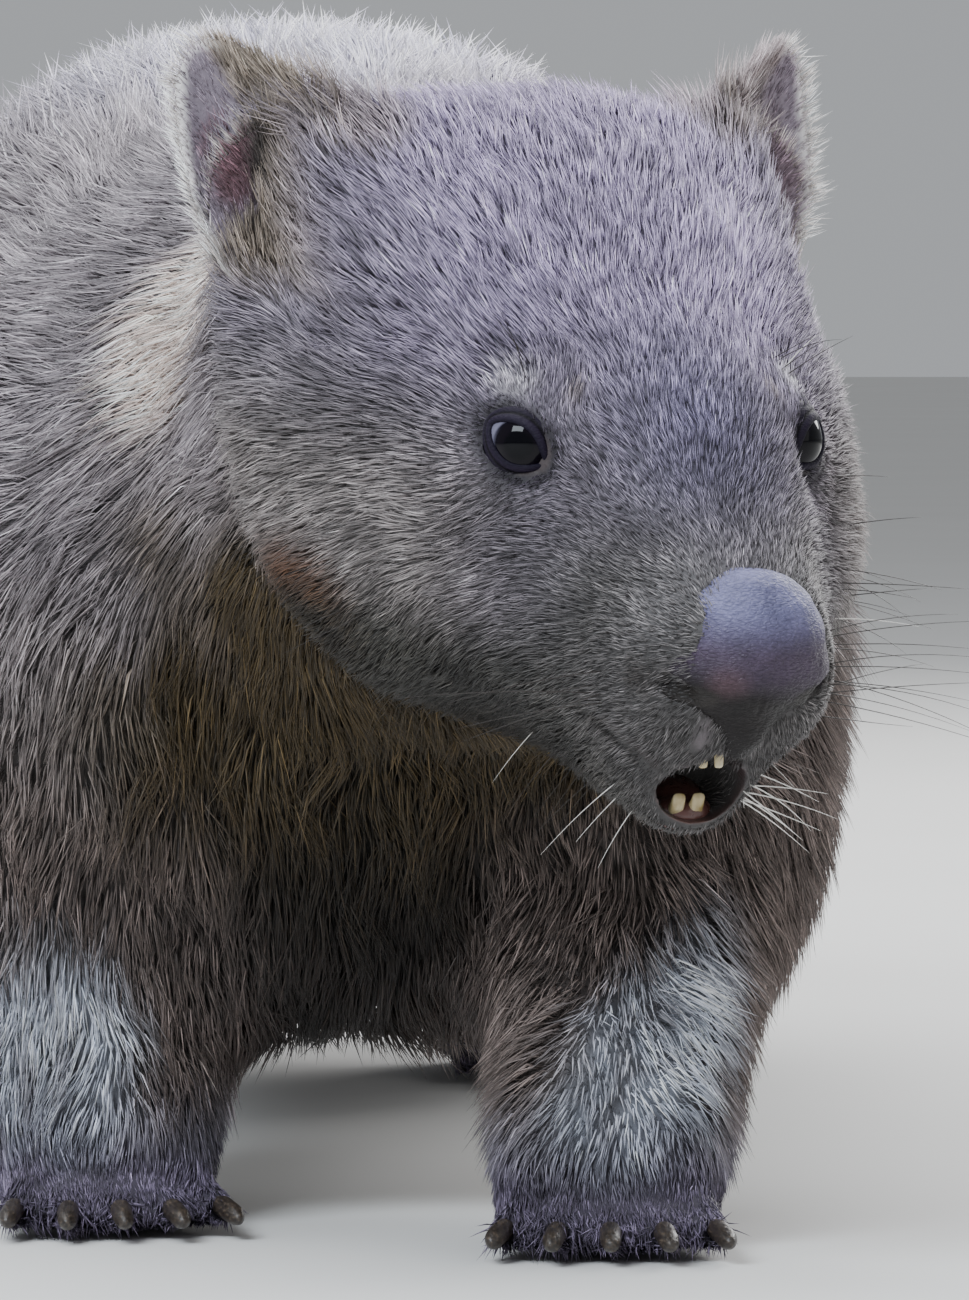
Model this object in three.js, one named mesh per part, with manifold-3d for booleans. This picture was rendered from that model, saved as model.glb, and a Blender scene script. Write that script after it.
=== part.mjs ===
// A common wombat at life size, standing on four legs with its head low and turned to its left.
// Units are millimetres, with +Z up. The wombat faces -Y, +X is its left, and it stands on z = 0.
// The origin is under the middle of its bounding box.
// The flesh is one smooth field, negative inside and positive outside. Each part wraps that field
// with its own mesh and is parted from its neighbours by thin cuts.
import * as THREE from "three";
import { mergeVertices } from "three/addons/utils/BufferGeometryUtils.js";
import Module from "manifold-3d";

const wasm = await Module();
wasm.setup();

const at = (x, y, z) => new THREE.Vector3(x, y, z);

// Driving dimensions
const GAP = 0.3;
const BACK_HEIGHT = 352;
const BELLY_HEIGHT = 48;
const BODY_HALF_WIDTH = 146;
const CHEST_Y = 96;
const RUMP_Y = 842;
const HEAD_TURN = THREE.MathUtils.degToRad(17.7);
const HEAD_DROP = THREE.MathUtils.degToRad(12);
const BROW = new THREE.Vector3(75, -4, 221);
const EYE = { radius: 9.6, apart: 36.5, back: 5.5, up: 0, aim: 58, lid: 2.2, slitWide: 7.9, slitHigh: 5.3 };
const NOSE = { halfWidth: 21.5, back: -64, z: -36 };
const MOUTH = { middle: at(-3.8, -55, -79), halfWidth: 11.5, depth: 25, halfHeight: 9 };
const JAW_SLIDE = -4;
const TEETH = {
  upper: { root: at(0, -45, -60), edge: at(0, -49, -69), apart: 2.2, radius: 1.9 },
  lower: { root: at(-4, -42, -87), edge: at(-4, -50, -79), apart: 2.7, radius: 2.4 },
};
const EAR = { baseApart: 69, baseBack: 108, baseUp: 37, lean: 17, tipBack: 29, tipUp: 58 };
const EAR_BLADE = { halfWidth: 24, depth: 16, wall: 3.2, root: 14, aim: 34, curl: 13 };
const PAW_TOP = 31;
const FORE = {
  name: "fore", apart: 68, leftY: 90, rightY: 156, upper: 58, middle: 47, ankle: 36, socket: 66,
  sole: { wide: 31, long: 36, heel: 4 }, toe: { radius: 8.2, reach: 36, spread: 6.5, pitch: 10 },
  claw: { length: 21, radius: 3.6 }, turn: 4, heelBack: 17,
};
const HIND = {
  name: "hind", apart: 80, leftY: 640, rightY: 662, upper: 74, middle: 54, ankle: 36, socket: 76,
  sole: { wide: 28, long: 46, heel: 10 }, toe: { radius: 7.4, reach: 44, spread: 5.5, pitch: 10 },
  claw: { length: 15, radius: 3.2 }, turn: -6, heelBack: 26,
};
const TAIL = { length: 22, radius: 12, z: 226 };

const both = (make) => [1, -1].map(make);
const sideName = (side) => (side > 0 ? "left" : "right");

// Fields

function ball(centre, radii) {
  return (p) => {
    const x = p.x - centre.x;
    const y = p.y - centre.y;
    const z = p.z - centre.z;
    const near = Math.hypot(x / radii.x, y / radii.y, z / radii.z);
    const slope = Math.hypot(x / radii.x ** 2, y / radii.y ** 2, z / radii.z ** 2);
    return slope < 1e-9 ? -Math.min(radii.x, radii.y, radii.z) : (near * (near - 1)) / slope;
  };
}

function limb(start, end, startRadius, endRadius) {
  const run = end.clone().sub(start);
  return (p) => {
    const x = p.x - start.x;
    const y = p.y - start.y;
    const z = p.z - start.z;
    const share = (x * run.x + y * run.y + z * run.z) / run.lengthSq();
    const t = THREE.MathUtils.clamp(share, 0, 1);
    return (
      Math.hypot(x - run.x * t, y - run.y * t, z - run.z * t) -
      THREE.MathUtils.lerp(startRadius, endRadius, t)
    );
  };
}

// Positive on the side that the normal points to.
function beyond(point, normal) {
  const unit = normal.clone().normalize();
  const level = unit.dot(point);
  return (p) => unit.dot(p) - level;
}

function meld(softness, ...fields) {
  return (p) => {
    let least = fields[0](p);
    for (let i = 1; i < fields.length; i++) {
      const next = fields[i](p);
      const share = Math.max(softness - Math.abs(least - next), 0) / softness;
      least = Math.min(least, next) - (share * share * softness) / 4;
    }
    return least;
  };
}

const common = (...fields) => (p) => Math.max(...fields.map((f) => f(p)));
const grown = (field, by) => (p) => field(p) - by;
const outside = (field) => (p) => -field(p);

function seenFrom(matrix, field) {
  const there = new THREE.Vector3();
  return (p) => field(there.copy(p).applyMatrix4(matrix));
}

// The body's flesh, in the body's own frame

const BODY_MID_Z = (BACK_HEIGHT + BELLY_HEIGHT) / 2;
const BODY_HALF_HEIGHT = (BACK_HEIGHT - BELLY_HEIGHT) / 2;

const trunk = meld(
  34,
  ball(at(-5, 450, BODY_MID_Z - 2), at(BODY_HALF_WIDTH, 300, BODY_HALF_HEIGHT)),
  ...both((s) => ball(at(s * 50 - 6, 470, BODY_MID_Z + 58), at(70, 240, 68))),
  ball(at(0, CHEST_Y + 122, 170), at(118, 120, 129)),
  ball(at(0, RUMP_Y - 190, BODY_MID_Z + 6), at(BODY_HALF_WIDTH - 6, 188, BODY_HALF_HEIGHT - 4)),
  ...both((s) => ball(at(s * 81, 204, 150), at(71, 84, 98))),
  ...both((s) => ball(at(s * 84, 668, 158), at(66, 110, 100))),
);

// Each leg comes down from the shoulder or hip, through the elbow or knee, to the foot.
function bonesOf(pair, side) {
  const y = side > 0 ? pair.leftY : pair.rightY;
  const hip = pair === FORE ? at(side * 87, 190, 166) : at(side * 92, 655, 160);
  const knee = pair === FORE ? at(side * 87, 180, 98) : at(side * 102, 622, 104);
  const ankle = at(side * (pair.apart + 1), y + pair.heelBack, 38);
  const foot = at(side * pair.apart, y + 8, 0);
  return { hip, knee, ankle, foot, stand: at(side * pair.apart, y, 0) };
}

function legField(pair, side) {
  const { hip, knee, ankle, foot } = bonesOf(pair, side);
  return meld(
    12,
    limb(hip, knee, pair.upper, pair.middle),
    limb(knee, ankle, pair.middle, pair.ankle),
    limb(ankle, foot, pair.ankle, pair.ankle - 4),
  );
}

const LEGS = [FORE, HIND].flatMap((pair) => both((side) => ({ pair, side })));

// The head's flesh, in the head's own frame, whose origin is midway between the eyes

const headFrame = new THREE.Group();
headFrame.position.copy(BROW);
headFrame.rotation.set(HEAD_DROP, 0, HEAD_TURN, "ZYX");
headFrame.updateMatrix();
const toBody = headFrame.matrix.clone();
const toHead = toBody.clone().invert();

const face = meld(
  18,
  ball(at(0, 94, -1), at(75, 88, 68)),
  ball(at(0, 32, -8), at(54, 60, 40)),
  ...both((s) => ball(at(s * 41, 64, -36), at(39, 66, 44))),
  ...both((s) => ball(at(s * 22, 4, -46), at(26, 40, 30))),
  ...both((s) => limb(at(s * 38, 106, 40), at(s * 69, 114, 46), 29, 20)),
  limb(at(0, 12, -11), at(0, -50, -38), 34, 26),
  ...both((s) => ball(at(s * 13, -42, -52), at(18, 25, 21))),
  limb(at(0, 52, -60), at(JAW_SLIDE, -38, -79), 33, 17),
);

const headField = seenFrom(toHead, face);
const neckField = limb(at(4, 225, 212), at(36, 112, 226), 106, 84);

const flesh = meld(
  16,
  meld(40, trunk, neckField, headField),
  ...LEGS.map(({ pair, side }) => legField(pair, side)),
);
const fleshOfHead = seenFrom(toBody, flesh);

// Solids from fields

function solidOf(geometry) {
  const bare = new THREE.BufferGeometry();
  bare.setAttribute("position", geometry.getAttribute("position"));
  bare.setIndex(geometry.index);
  const merged = mergeVertices(bare, 1e-3);
  const corners = Array.from(merged.index.array);
  const kept = [];
  for (let i = 0; i < corners.length; i += 3) {
    const [a, b, c] = corners.slice(i, i + 3);
    if (a !== b && b !== c && c !== a) kept.push(a, b, c);
  }
  const vertProperties = merged.getAttribute("position").array;
  return new wasm.Manifold(
    new wasm.Mesh({ numProp: 3, vertProperties, triVerts: new Uint32Array(kept) }),
  );
}

const placed = (geometry, matrix) => solidOf(geometry.clone().applyMatrix4(matrix));

// A frame with its z axis along one direction and its y axis as near as it can be to another.
function aimed(position, zWay, yWay) {
  const z = zWay.clone().normalize();
  const y = yWay.clone().addScaledVector(z, -yWay.dot(z)).normalize();
  const x = y.clone().cross(z);
  return new THREE.Matrix4().makeBasis(x, y, z).setPosition(position);
}

// How far the surface is from a point inside it, in one direction.
function reach(field, from, way) {
  const STRIDE = 3;
  const HALVINGS = 16;
  const LIMIT = 1000;
  const p = new THREE.Vector3();
  const inside = (distance) => field(p.copy(from).addScaledVector(way, distance)) < 0;
  let far = 0;
  while (inside(far) && far < LIMIT) far += STRIDE;
  let near = Math.max(far - STRIDE, 0);
  for (let i = 0; i < HALVINGS; i++) {
    const middle = (near + far) / 2;
    if (inside(middle)) near = middle;
    else far = middle;
  }
  return (near + far) / 2;
}

// A capsule round the line from start to end, with each point pushed out to the field's surface.
// An ease over 1 sets the rings closer towards the end.
function wrap(field, start, end, { around, caps, rings, ease = 1 }) {
  const along = end.clone().sub(start).normalize();
  const side = Math.abs(along.x) < 0.9 ? at(1, 0, 0) : at(0, 1, 0);
  side.addScaledVector(along, -side.dot(along)).normalize();
  const up = side.clone().cross(along);
  const pod = new THREE.CapsuleGeometry(1, 1, caps, around, rings);
  const points = pod.getAttribute("position");
  const from = new THREE.Vector3();
  const way = new THREE.Vector3();
  for (let i = 0; i < points.count; i++) {
    const height = THREE.MathUtils.clamp(points.getY(i), -0.5, 0.5);
    from.lerpVectors(start, end, 1 - (0.5 - height) ** ease);
    way
      .set(0, 0, 0)
      .addScaledVector(side, points.getX(i))
      .addScaledVector(along, points.getY(i) - height)
      .addScaledVector(up, points.getZ(i))
      .normalize();
    from.addScaledVector(way, reach(field, from, way));
    points.setXYZ(i, from.x, from.y, from.z);
  }
  return solidOf(pod);
}

// A big block that fills the side of a plane that the normal points to.
function halfSpace(point, normal) {
  const SPAN = 3000;
  const across = Math.abs(normal.y) > 0.5 ? at(1, 0, 0) : at(0, 1, 0);
  const block = new THREE.BoxGeometry(SPAN, SPAN, SPAN).translate(0, 0, SPAN / 2);
  return placed(block, aimed(point, normal, across));
}

const join = (first, ...others) => others.reduce((sum, solid) => sum.add(solid), first);
const cut = (first, ...others) => others.reduce((left, solid) => left.subtract(solid), first);

function largest(solid) {
  return solid.decompose().reduce((a, b) => (a.volume() > b.volume() ? a : b));
}

// Materials

function material(color, roughness) {
  return new THREE.MeshStandardMaterial({ color, roughness, metalness: 0 });
}
const FUR = material(0x6d625c, 0.85);
const FACE_FUR = material(0x6f6966, 0.85);
const PAW_FUR = material(0x3b3230, 0.8);
const NOSE_SKIN = material(0x5a4f58, 0.5);
const HORN = material(0x2e2722, 0.45);
const IVORY = material(0xcdbf95, 0.35);
const EYE_GLOSS = material(0x0b0a10, 0.05);

function addPart(group, name, solid, surface) {
  const kept = largest(solid).getMesh();
  const geometry = new THREE.BufferGeometry();
  geometry.setAttribute("position", new THREE.BufferAttribute(kept.vertProperties, 3));
  geometry.setIndex(new THREE.BufferAttribute(kept.triVerts, 1));
  geometry.computeVertexNormals();
  const mesh = new THREE.Mesh(geometry, surface);
  mesh.name = name;
  group.add(mesh);
}

const wombat = new THREE.Group();

// Cuts that part the head, the neck and the torso

function plane(point, normal) {
  const unit = normal.clone().normalize();
  const moved = (by) => point.clone().addScaledVector(unit, by);
  return {
    side: (by) => beyond(moved(by), unit),
    block: (by) => halfSpace(moved(by), unit),
    under: (by) => halfSpace(moved(by), unit.clone().negate()),
    inBody: () => plane(point.clone().applyMatrix4(toBody), unit.clone().transformDirection(toBody)),
  };
}

const MARGIN = 30;
const NAPE = plane(at(0, 205, 325), at(0, 0.86, -0.5));
const SKULL_BACK = plane(at(0, 150, 58), at(0, 0.833, -0.553));
const skullBackInBody = SKULL_BACK.inBody();

// Each leg is parted from the torso along a pear-shaped line on the flank, wide over the shoulder
// or thigh and narrow at the ankle, and along a slanting plane inside the body.
const ANKLE_ROOM = 8;
const BELOW_FLOOR = -60;
const PAST_FLANK = 200;
const INNER = { fromLegLine: 46, height: 50, slant: at(1, 0, -0.3) };

function socketOf(pair, side) {
  const { knee, ankle, foot } = bonesOf(pair, side);
  const top = knee.clone().add(at(0, 4, 8));
  const inner = at(side * (pair.apart - INNER.fromLegLine), 0, INNER.height);
  const slant = at(side * INNER.slant.x, 0, INNER.slant.z);
  return { top, ankle, low: foot.clone().setZ(BELOW_FLOOR), inside: plane(inner, slant) };
}

function socketField(pair, side, by) {
  const { top, ankle, low, inside } = socketOf(pair, side);
  const narrow = pair.ankle + ANKLE_ROOM + by;
  const flat = (v) => v.clone().setX(0);
  const upper = limb(flat(top), flat(ankle), pair.socket + by, narrow);
  const lower = limb(flat(ankle), flat(low), narrow, narrow);
  const here = new THREE.Vector3();
  const outline = (p) => {
    here.copy(p).setX(0);
    return Math.min(upper(here), lower(here));
  };
  return common(outline, outside(inside.side(-by)));
}

function pearOutline(centre, radius, end, endRadius) {
  const heading = Math.atan2(end.z - centre.z, end.y - centre.y);
  const lean = Math.acos((radius - endRadius) / Math.hypot(end.y - centre.y, end.z - centre.z));
  return new THREE.Shape()
    .absarc(centre.y, centre.z, radius, heading + lean, heading - lean + 2 * Math.PI, false)
    .absarc(end.y, end.z, endRadius, heading - lean, heading + lean, false);
}

function socketBlock(pair, side, by) {
  const { top, ankle, low, inside } = socketOf(pair, side);
  const narrow = pair.ankle + ANKLE_ROOM + by;
  const outlines = [
    pearOutline(top, pair.socket + by, ankle, narrow),
    pearOutline(ankle, narrow, low, narrow),
  ];
  const sideways = new THREE.Matrix4()
    .makeBasis(at(0, 1, 0), at(0, 0, 1), at(1, 0, 0))
    .setPosition(side > 0 ? 0 : -PAST_FLANK, 0, 0);
  const options = { depth: PAST_FLANK, bevelEnabled: false, curveSegments: 8 };
  const blocks = outlines.map((outline) =>
    placed(new THREE.ExtrudeGeometry(outline, options), sideways),
  );
  return join(...blocks).intersect(inside.block(-by));
}

function alongLeg(pair, side, field, counts) {
  const { knee, foot } = bonesOf(pair, side);
  return wrap(field, knee, foot.clone().add(at(0, 6, -12)), counts);
}

// Torso and tail

const TRUNK_REACH = 32;
const NAPE_MARGIN = 70;
const TORSO_COUNTS = { around: 38, caps: 9, rings: 14 };
const SPINE = [at(0, 190, 200), at(0, RUMP_Y - 175, 205)];
const torsoField = common(flesh, grown(trunk, TRUNK_REACH), outside(NAPE.side(-NAPE_MARGIN)));
const torso = cut(
  wrap(torsoField, ...SPINE, TORSO_COUNTS).intersect(NAPE.block(GAP / 2)),
  ...LEGS.map(({ pair, side }) => socketBlock(pair, side, GAP)),
);
addPart(wombat, "torso", torso, FUR);

const tailRoot = at(0, RUMP_Y - 20, TAIL.z);
const tailTip = at(0, RUMP_Y + TAIL.length - 18, TAIL.z - 16);
const tailField = limb(tailRoot, tailTip, TAIL.radius, TAIL.radius / 2);
const rump = wrap(grown(trunk, GAP), ...SPINE, TORSO_COUNTS);
const tail = wrap(tailField, tailRoot, tailTip, { around: 12, caps: 3, rings: 2 }).subtract(rump);
addPart(wombat, "tail", tail, FUR);

// Neck

const neckRegion = common(flesh, NAPE.side(MARGIN), outside(skullBackInBody.side(-MARGIN)));
const neck = cut(
  wrap(neckRegion, at(12, 165, 215), at(28, 134, 218), { around: 40, caps: 6, rings: 3 }),
  NAPE.block(-GAP / 2),
  skullBackInBody.under(GAP / 2),
);
addPart(wombat, "neck", neck, FUR);

// Legs and paws

const TOES = [-2, -1, 0, 1, 2];

// The outermost toes start and end a little further back.
function toeOf(pair, side, step) {
  const { stand } = bonesOf(pair, side);
  const { radius, reach: length, spread, pitch } = pair.toe;
  const turn = THREE.MathUtils.degToRad(pair.turn * -side);
  const fan = THREE.MathUtils.degToRad(spread * step);
  const inward = Math.abs(step) === 2 ? 6 : 0;
  const up = at(0, 0, 1);
  const way = at(0, -1, 0).applyAxisAngle(up, fan).applyAxisAngle(up, turn);
  const root = at(step * pitch, inward, radius + 5).applyAxisAngle(up, turn).add(stand);
  const tip = at(step * pitch, inward, radius - 1)
    .applyAxisAngle(up, turn)
    .add(stand)
    .addScaledVector(way, length);
  return { root, tip, way };
}

// A claw leaves the toe's tip and bends down, and its point stays clear of the floor.
function claw(pair, side, step, by) {
  const { tip, way } = toeOf(pair, side, step);
  const { length, radius } = pair.claw;
  const root = tip.clone().addScaledVector(way, 3).setZ(8.5);
  const bend = root.clone().addScaledVector(way, length * 0.5).setZ(7.2);
  const point = root.clone().addScaledVector(way, length).setZ(2.6);
  const curve = meld(
    1,
    limb(root, bend, radius + by, radius * 0.85 + by),
    limb(bend, point, radius * 0.85 + by, radius * 0.3 + by),
  );
  return wrap(curve, root, bend, { around: 6, caps: 2, rings: 2 });
}

function makeFoot({ pair, side }) {
  const field = common(flesh, socketField(pair, side, MARGIN));
  const column = alongLeg(pair, side, field, { around: 20, caps: 5, rings: 7 });
  const leg = column
    .intersect(socketBlock(pair, side, 0))
    .intersect(halfSpace(at(0, 0, PAW_TOP), at(0, 0, 1)));
  addPart(wombat, `${pair.name}leg_${sideName(side)}`, leg, FUR);

  const { stand } = bonesOf(pair, side);
  const { wide, long, heel } = pair.sole;
  const sole = new THREE.SphereGeometry(1, 12, 6).scale(wide, long, PAW_TOP);
  const middle = new THREE.Matrix4().makeTranslation(stand.x, stand.y + heel, 0);
  const toes = TOES.map((step) => {
    const { root, tip } = toeOf(pair, side, step);
    const field = limb(root, tip, pair.toe.radius + 1, pair.toe.radius);
    return wrap(field, root, tip, { around: 6, caps: 2, rings: 1 });
  });
  const clawed = TOES.filter((step) => pair === FORE || step !== 2 * -side);
  const paw = cut(
    join(column, placed(sole, middle), ...toes),
    halfSpace(at(0, 0, PAW_TOP - GAP), at(0, 0, 1)),
    halfSpace(at(0, 0, 0), at(0, 0, -1)),
    ...clawed.map((step) => claw(pair, side, step, GAP)),
  );
  addPart(wombat, `${pair.name}paw_${sideName(side)}`, paw, PAW_FUR);
  clawed.forEach((step) =>
    addPart(wombat, `${pair.name}claw_${sideName(side)}_${step + 3}`, claw(pair, side, step, 0), HORN),
  );
}

LEGS.forEach(makeFoot);

// Head

const head = new THREE.Group();
head.position.copy(headFrame.position);
head.rotation.copy(headFrame.rotation);
wombat.add(head);

// Eyes, each in a socket behind lids that leave an almond-shaped opening
function eyeFrame(side) {
  const aim = THREE.MathUtils.degToRad(EYE.aim);
  const way = at(side * Math.sin(aim), -Math.cos(aim), 0.1);
  return aimed(at(side * EYE.apart, EYE.back, EYE.up), way, at(0, 0, 1));
}

function eyeball(side, radius, around) {
  return placed(new THREE.SphereGeometry(radius, around, around / 2), eyeFrame(side));
}

function lidOpening(side) {
  const { slitWide: w, slitHigh: h } = EYE;
  const almond = new THREE.Shape()
    .moveTo(-w, 0)
    .quadraticCurveTo(-w * 0.4, h * 1.5, w * 0.2, h)
    .quadraticCurveTo(w * 0.8, h * 0.7, w, 0)
    .quadraticCurveTo(w * 0.4, -h * 1.4, -w * 0.2, -h)
    .quadraticCurveTo(-w * 0.7, -h * 0.7, -w, 0);
  const prism = new THREE.ExtrudeGeometry(almond, { depth: 40, bevelEnabled: false, curveSegments: 4 });
  return placed(prism, eyeFrame(side));
}

// Nose pad, with a comma-shaped nostril on each side
const noseField = meld(
  6,
  ball(at(0, NOSE.back, NOSE.z), at(NOSE.halfWidth, 17.5, 18.5)),
  ...both((s) => ball(at(s * 15, NOSE.back + 2, NOSE.z - 10), at(9.5, 12, 8))),
  limb(at(0, NOSE.back - 1, NOSE.z - 10), at(0, NOSE.back - 2, NOSE.z - 25), 15, 6.5),
);

function makeNose(by) {
  const counts = { around: 20, caps: 4, rings: 3 };
  return wrap(grown(noseField, by), at(0, -60, NOSE.z - 14), at(0, -60, NOSE.z + 4), counts);
}

function nostril(side) {
  const back = at(side * 26, -57, -41);
  const bend = at(side * 19, -72, -49.5);
  const front = at(side * 9, -82, -57);
  const field = meld(2, limb(back, bend, 2.2, 3.2), limb(bend, front, 3.2, 1.8));
  return wrap(field, back, bend, { around: 8, caps: 3, rings: 2 });
}

// Mouth, where the jaw is parted from the head and the lips stand a little open
const LIPS = plane(at(0, -62, -72), at(0, 0.107, -0.994));
const JAW_BACK = plane(at(0, 4, -70), at(0, -1, -0.3));

function mouth() {
  const { middle: centre, halfWidth, halfHeight, depth } = MOUTH;
  const opening = new THREE.SphereGeometry(1, 18, 10).scale(halfWidth, depth, halfHeight);
  return placed(opening, new THREE.Matrix4().setPosition(centre));
}

// The cleft in the upper lip, under the nose pad
function cleft() {
  const groove = new THREE.SphereGeometry(1, 14, 8).scale(6.5, 20, 7);
  return placed(groove, new THREE.Matrix4().setPosition(-1, -62, -73));
}

function tooth(level, side, by) {
  const { root, edge, apart, radius } = TEETH[level];
  const out = at(side * apart, 0, 0);
  const [start, end] = [root.clone().add(out), edge.clone().add(out)];
  const field = limb(start, end, radius + by, radius * 0.8 + by);
  return wrap(field, start, end, { around: 8, caps: 2, rings: 1 });
}

// Ears: a leaf-shaped cup of even wall, open to the front and side
const EAR_PROFILE = [[0, 0], [0.82, 0], [0.97, 0.2], [1, 0.36], [0.9, 0.56], [0.66, 0.76], [0.34, 0.92], [0, 1]];

function earFrame(side) {
  const base = at(side * EAR.baseApart, EAR.baseBack, EAR.baseUp);
  const tip = base.clone().add(at(side * EAR.lean, EAR.tipBack, EAR.tipUp));
  const aim = THREE.MathUtils.degToRad(EAR_BLADE.aim);
  const behind = at(-side * Math.sin(aim), Math.cos(aim), 0);
  return { frame: aimed(base, tip.clone().sub(base), behind), length: tip.distanceTo(base) };
}

function earLeaf(side, inset) {
  const { frame, length } = earFrame(side);
  const { halfWidth, depth, root, curl } = EAR_BLADE;
  const width = halfWidth - inset;
  const outward = Math.sign(new THREE.Vector3().setFromMatrixColumn(frame, 0).x * side);
  const points = EAR_PROFILE.map(
    ([out, up]) => new THREE.Vector2(out * width, -root + up * (length + root - inset * 1.4)),
  );
  const leaf = new THREE.LatheGeometry(points, 18).rotateX(Math.PI / 2);
  leaf.scale(1, (depth - inset) / width, 1);
  const corners = leaf.getAttribute("position");
  for (let i = 0; i < corners.count; i++) {
    const up = Math.max(corners.getZ(i) / length, 0);
    corners.setX(i, corners.getX(i) + outward * curl * up * up);
  }
  return placed(leaf, frame);
}

const earCup = (side) => earLeaf(side, EAR_BLADE.wall);

function makeEar(side, headGrown) {
  const { frame } = earFrame(side);
  const behind = at(0, 1, -0.18).transformDirection(frame);
  const rim = halfSpace(at(0, -5, 0).applyMatrix4(frame), behind);
  return earLeaf(side, 0).intersect(rim).subtract(earCup(side)).subtract(headGrown);
}

const SKULL_LINE = [at(0, 96, -14), at(0, -42, -44)];
const SKULL_COUNTS = { around: 42, caps: 7, rings: 14, ease: 1.15 };
const skullField = common(fleshOfHead, SKULL_BACK.side(MARGIN));
const skull = wrap(skullField, ...SKULL_LINE, SKULL_COUNTS);
const skullGrown = wrap(grown(skullField, GAP), ...SKULL_LINE, SKULL_COUNTS);

const jawBlock = (by) => LIPS.block(by).intersect(JAW_BACK.block(by));
const upperRoots = both((side) => tooth("upper", side, GAP));
const sockets = both((side) => eyeball(side, EYE.radius + GAP, 18));
const headSolid = cut(
  join(skull, ...both((side) => eyeball(side, EYE.radius + EYE.lid, 18))),
  SKULL_BACK.block(-GAP / 2),
  jawBlock(-GAP / 2),
  makeNose(GAP),
  mouth(),
  cleft(),
  ...both(nostril),
  ...both(lidOpening),
  ...sockets,
  ...both(earCup),
  ...upperRoots,
);
addPart(head, "head", headSolid, FACE_FUR);
addPart(head, "nose", cut(makeNose(0), ...both(nostril), ...upperRoots), NOSE_SKIN);
both((side) => addPart(head, `eye_${sideName(side)}`, eyeball(side, EYE.radius, 16), EYE_GLOSS));
both((side) => addPart(head, `ear_${sideName(side)}`, makeEar(side, skullGrown), FACE_FUR));

const jawField = common(fleshOfHead, outside(LIPS.side(-MARGIN)), outside(JAW_BACK.side(-MARGIN)));
const jaw = cut(
  wrap(jawField, at(0, 0, -76), at(JAW_SLIDE, -42, -79), { around: 22, caps: 5, rings: 5 })
    .intersect(jawBlock(GAP / 2)),
  mouth(),
  ...upperRoots,
  ...both((side) => tooth("lower", side, GAP)),
);
addPart(head, "jaw", jaw, FACE_FUR);
["upper", "lower"].forEach((level) =>
  both((side) => addPart(head, `tooth_${level}_${sideName(side)}`, tooth(level, side, 0), IVORY)),
);

// The origin is moved under the middle of the bounding box.
wombat.updateMatrixWorld(true);
const middle = new THREE.Box3().setFromObject(wombat, true).getCenter(new THREE.Vector3());
wombat.position.set(-middle.x, -middle.y, 0);
const root = new THREE.Group();
root.add(wombat);

export default root;
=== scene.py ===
import math

import bpy
import numpy as np
from bpy.props import FloatProperty, PointerProperty
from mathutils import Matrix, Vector, noise
from mathutils.bvhtree import BVHTree
from mathutils.kdtree import KDTree


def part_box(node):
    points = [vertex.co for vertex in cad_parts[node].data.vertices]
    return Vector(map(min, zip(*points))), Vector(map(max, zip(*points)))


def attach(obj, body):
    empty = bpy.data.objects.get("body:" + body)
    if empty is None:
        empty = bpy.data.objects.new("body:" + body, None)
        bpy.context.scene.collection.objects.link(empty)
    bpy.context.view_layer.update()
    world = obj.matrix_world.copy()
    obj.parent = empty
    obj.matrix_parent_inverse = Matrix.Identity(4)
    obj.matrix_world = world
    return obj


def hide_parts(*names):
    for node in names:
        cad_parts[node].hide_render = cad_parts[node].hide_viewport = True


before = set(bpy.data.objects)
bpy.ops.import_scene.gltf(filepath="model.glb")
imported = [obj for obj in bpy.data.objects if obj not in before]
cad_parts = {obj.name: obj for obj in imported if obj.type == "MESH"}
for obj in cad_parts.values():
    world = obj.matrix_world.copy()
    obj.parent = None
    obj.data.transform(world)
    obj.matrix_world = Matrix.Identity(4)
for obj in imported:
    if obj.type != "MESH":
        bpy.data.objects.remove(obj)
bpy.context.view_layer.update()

bl_info = {
    "name": "Common wombat",
    "version": (1, 0, 0),
    "blender": (4, 5, 0),
    "location": "View3D > Sidebar > Wombat",
    "description": "Dresses the solids of a standing wombat in one skin and a coat of solid hairs",
    "category": "Object",
}

# Lengths in this script are millimetres unless a name or a property says otherwise.
MM = 0.001
LEFT, RIGHT = 1, -1
SIDES = {"left": LEFT, "right": RIGHT}
LEGS = [f"{pair}leg_{side}" for pair in ("fore", "hind") for side in SIDES]
PAWS = [f"{pair}paw_{side}" for pair in ("fore", "hind") for side in SIDES]
EARS = [f"ear_{side}" for side in SIDES]
FLESH = ["torso", "tail", "neck", "head", "jaw", "nose", *EARS, *LEGS, *PAWS]
EYE_BACK = 5.5
EYE_AIM = math.radians(40)
HEAD_DROP = math.radians(12)
PHOTO_SIZE = (969, 1300)


def middle_of(node):
    low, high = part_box(node)
    return (Vector(low) + Vector(high)) / 2 / MM


def size_of(node):
    low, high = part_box(node)
    return (Vector(high) - Vector(low)) / MM


# The head's own axes: across to its left, back along the crown, and up. They come from the eyes.
EYE_CENTRES = {side: middle_of(f"eye_{side}") for side in SIDES}
EYE_RADIUS = size_of("eye_left").z / 2
ACROSS = (EYE_CENTRES["left"] - EYE_CENTRES["right"]).normalized()
LEVEL_BACK = Vector((0, 0, 1)).cross(ACROSS)
BACK = LEVEL_BACK * math.cos(HEAD_DROP) + Vector((0, 0, 1)) * math.sin(HEAD_DROP)
UP = ACROSS.cross(BACK)
BROW = (EYE_CENTRES["left"] + EYE_CENTRES["right"]) / 2 - BACK * EYE_BACK
HEAD_AXES = np.array([ACROSS, BACK, UP])


def in_head(points):
    """Points of the body, seen in the head's own frame."""
    return (points - np.array(BROW)) @ HEAD_AXES.T


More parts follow.
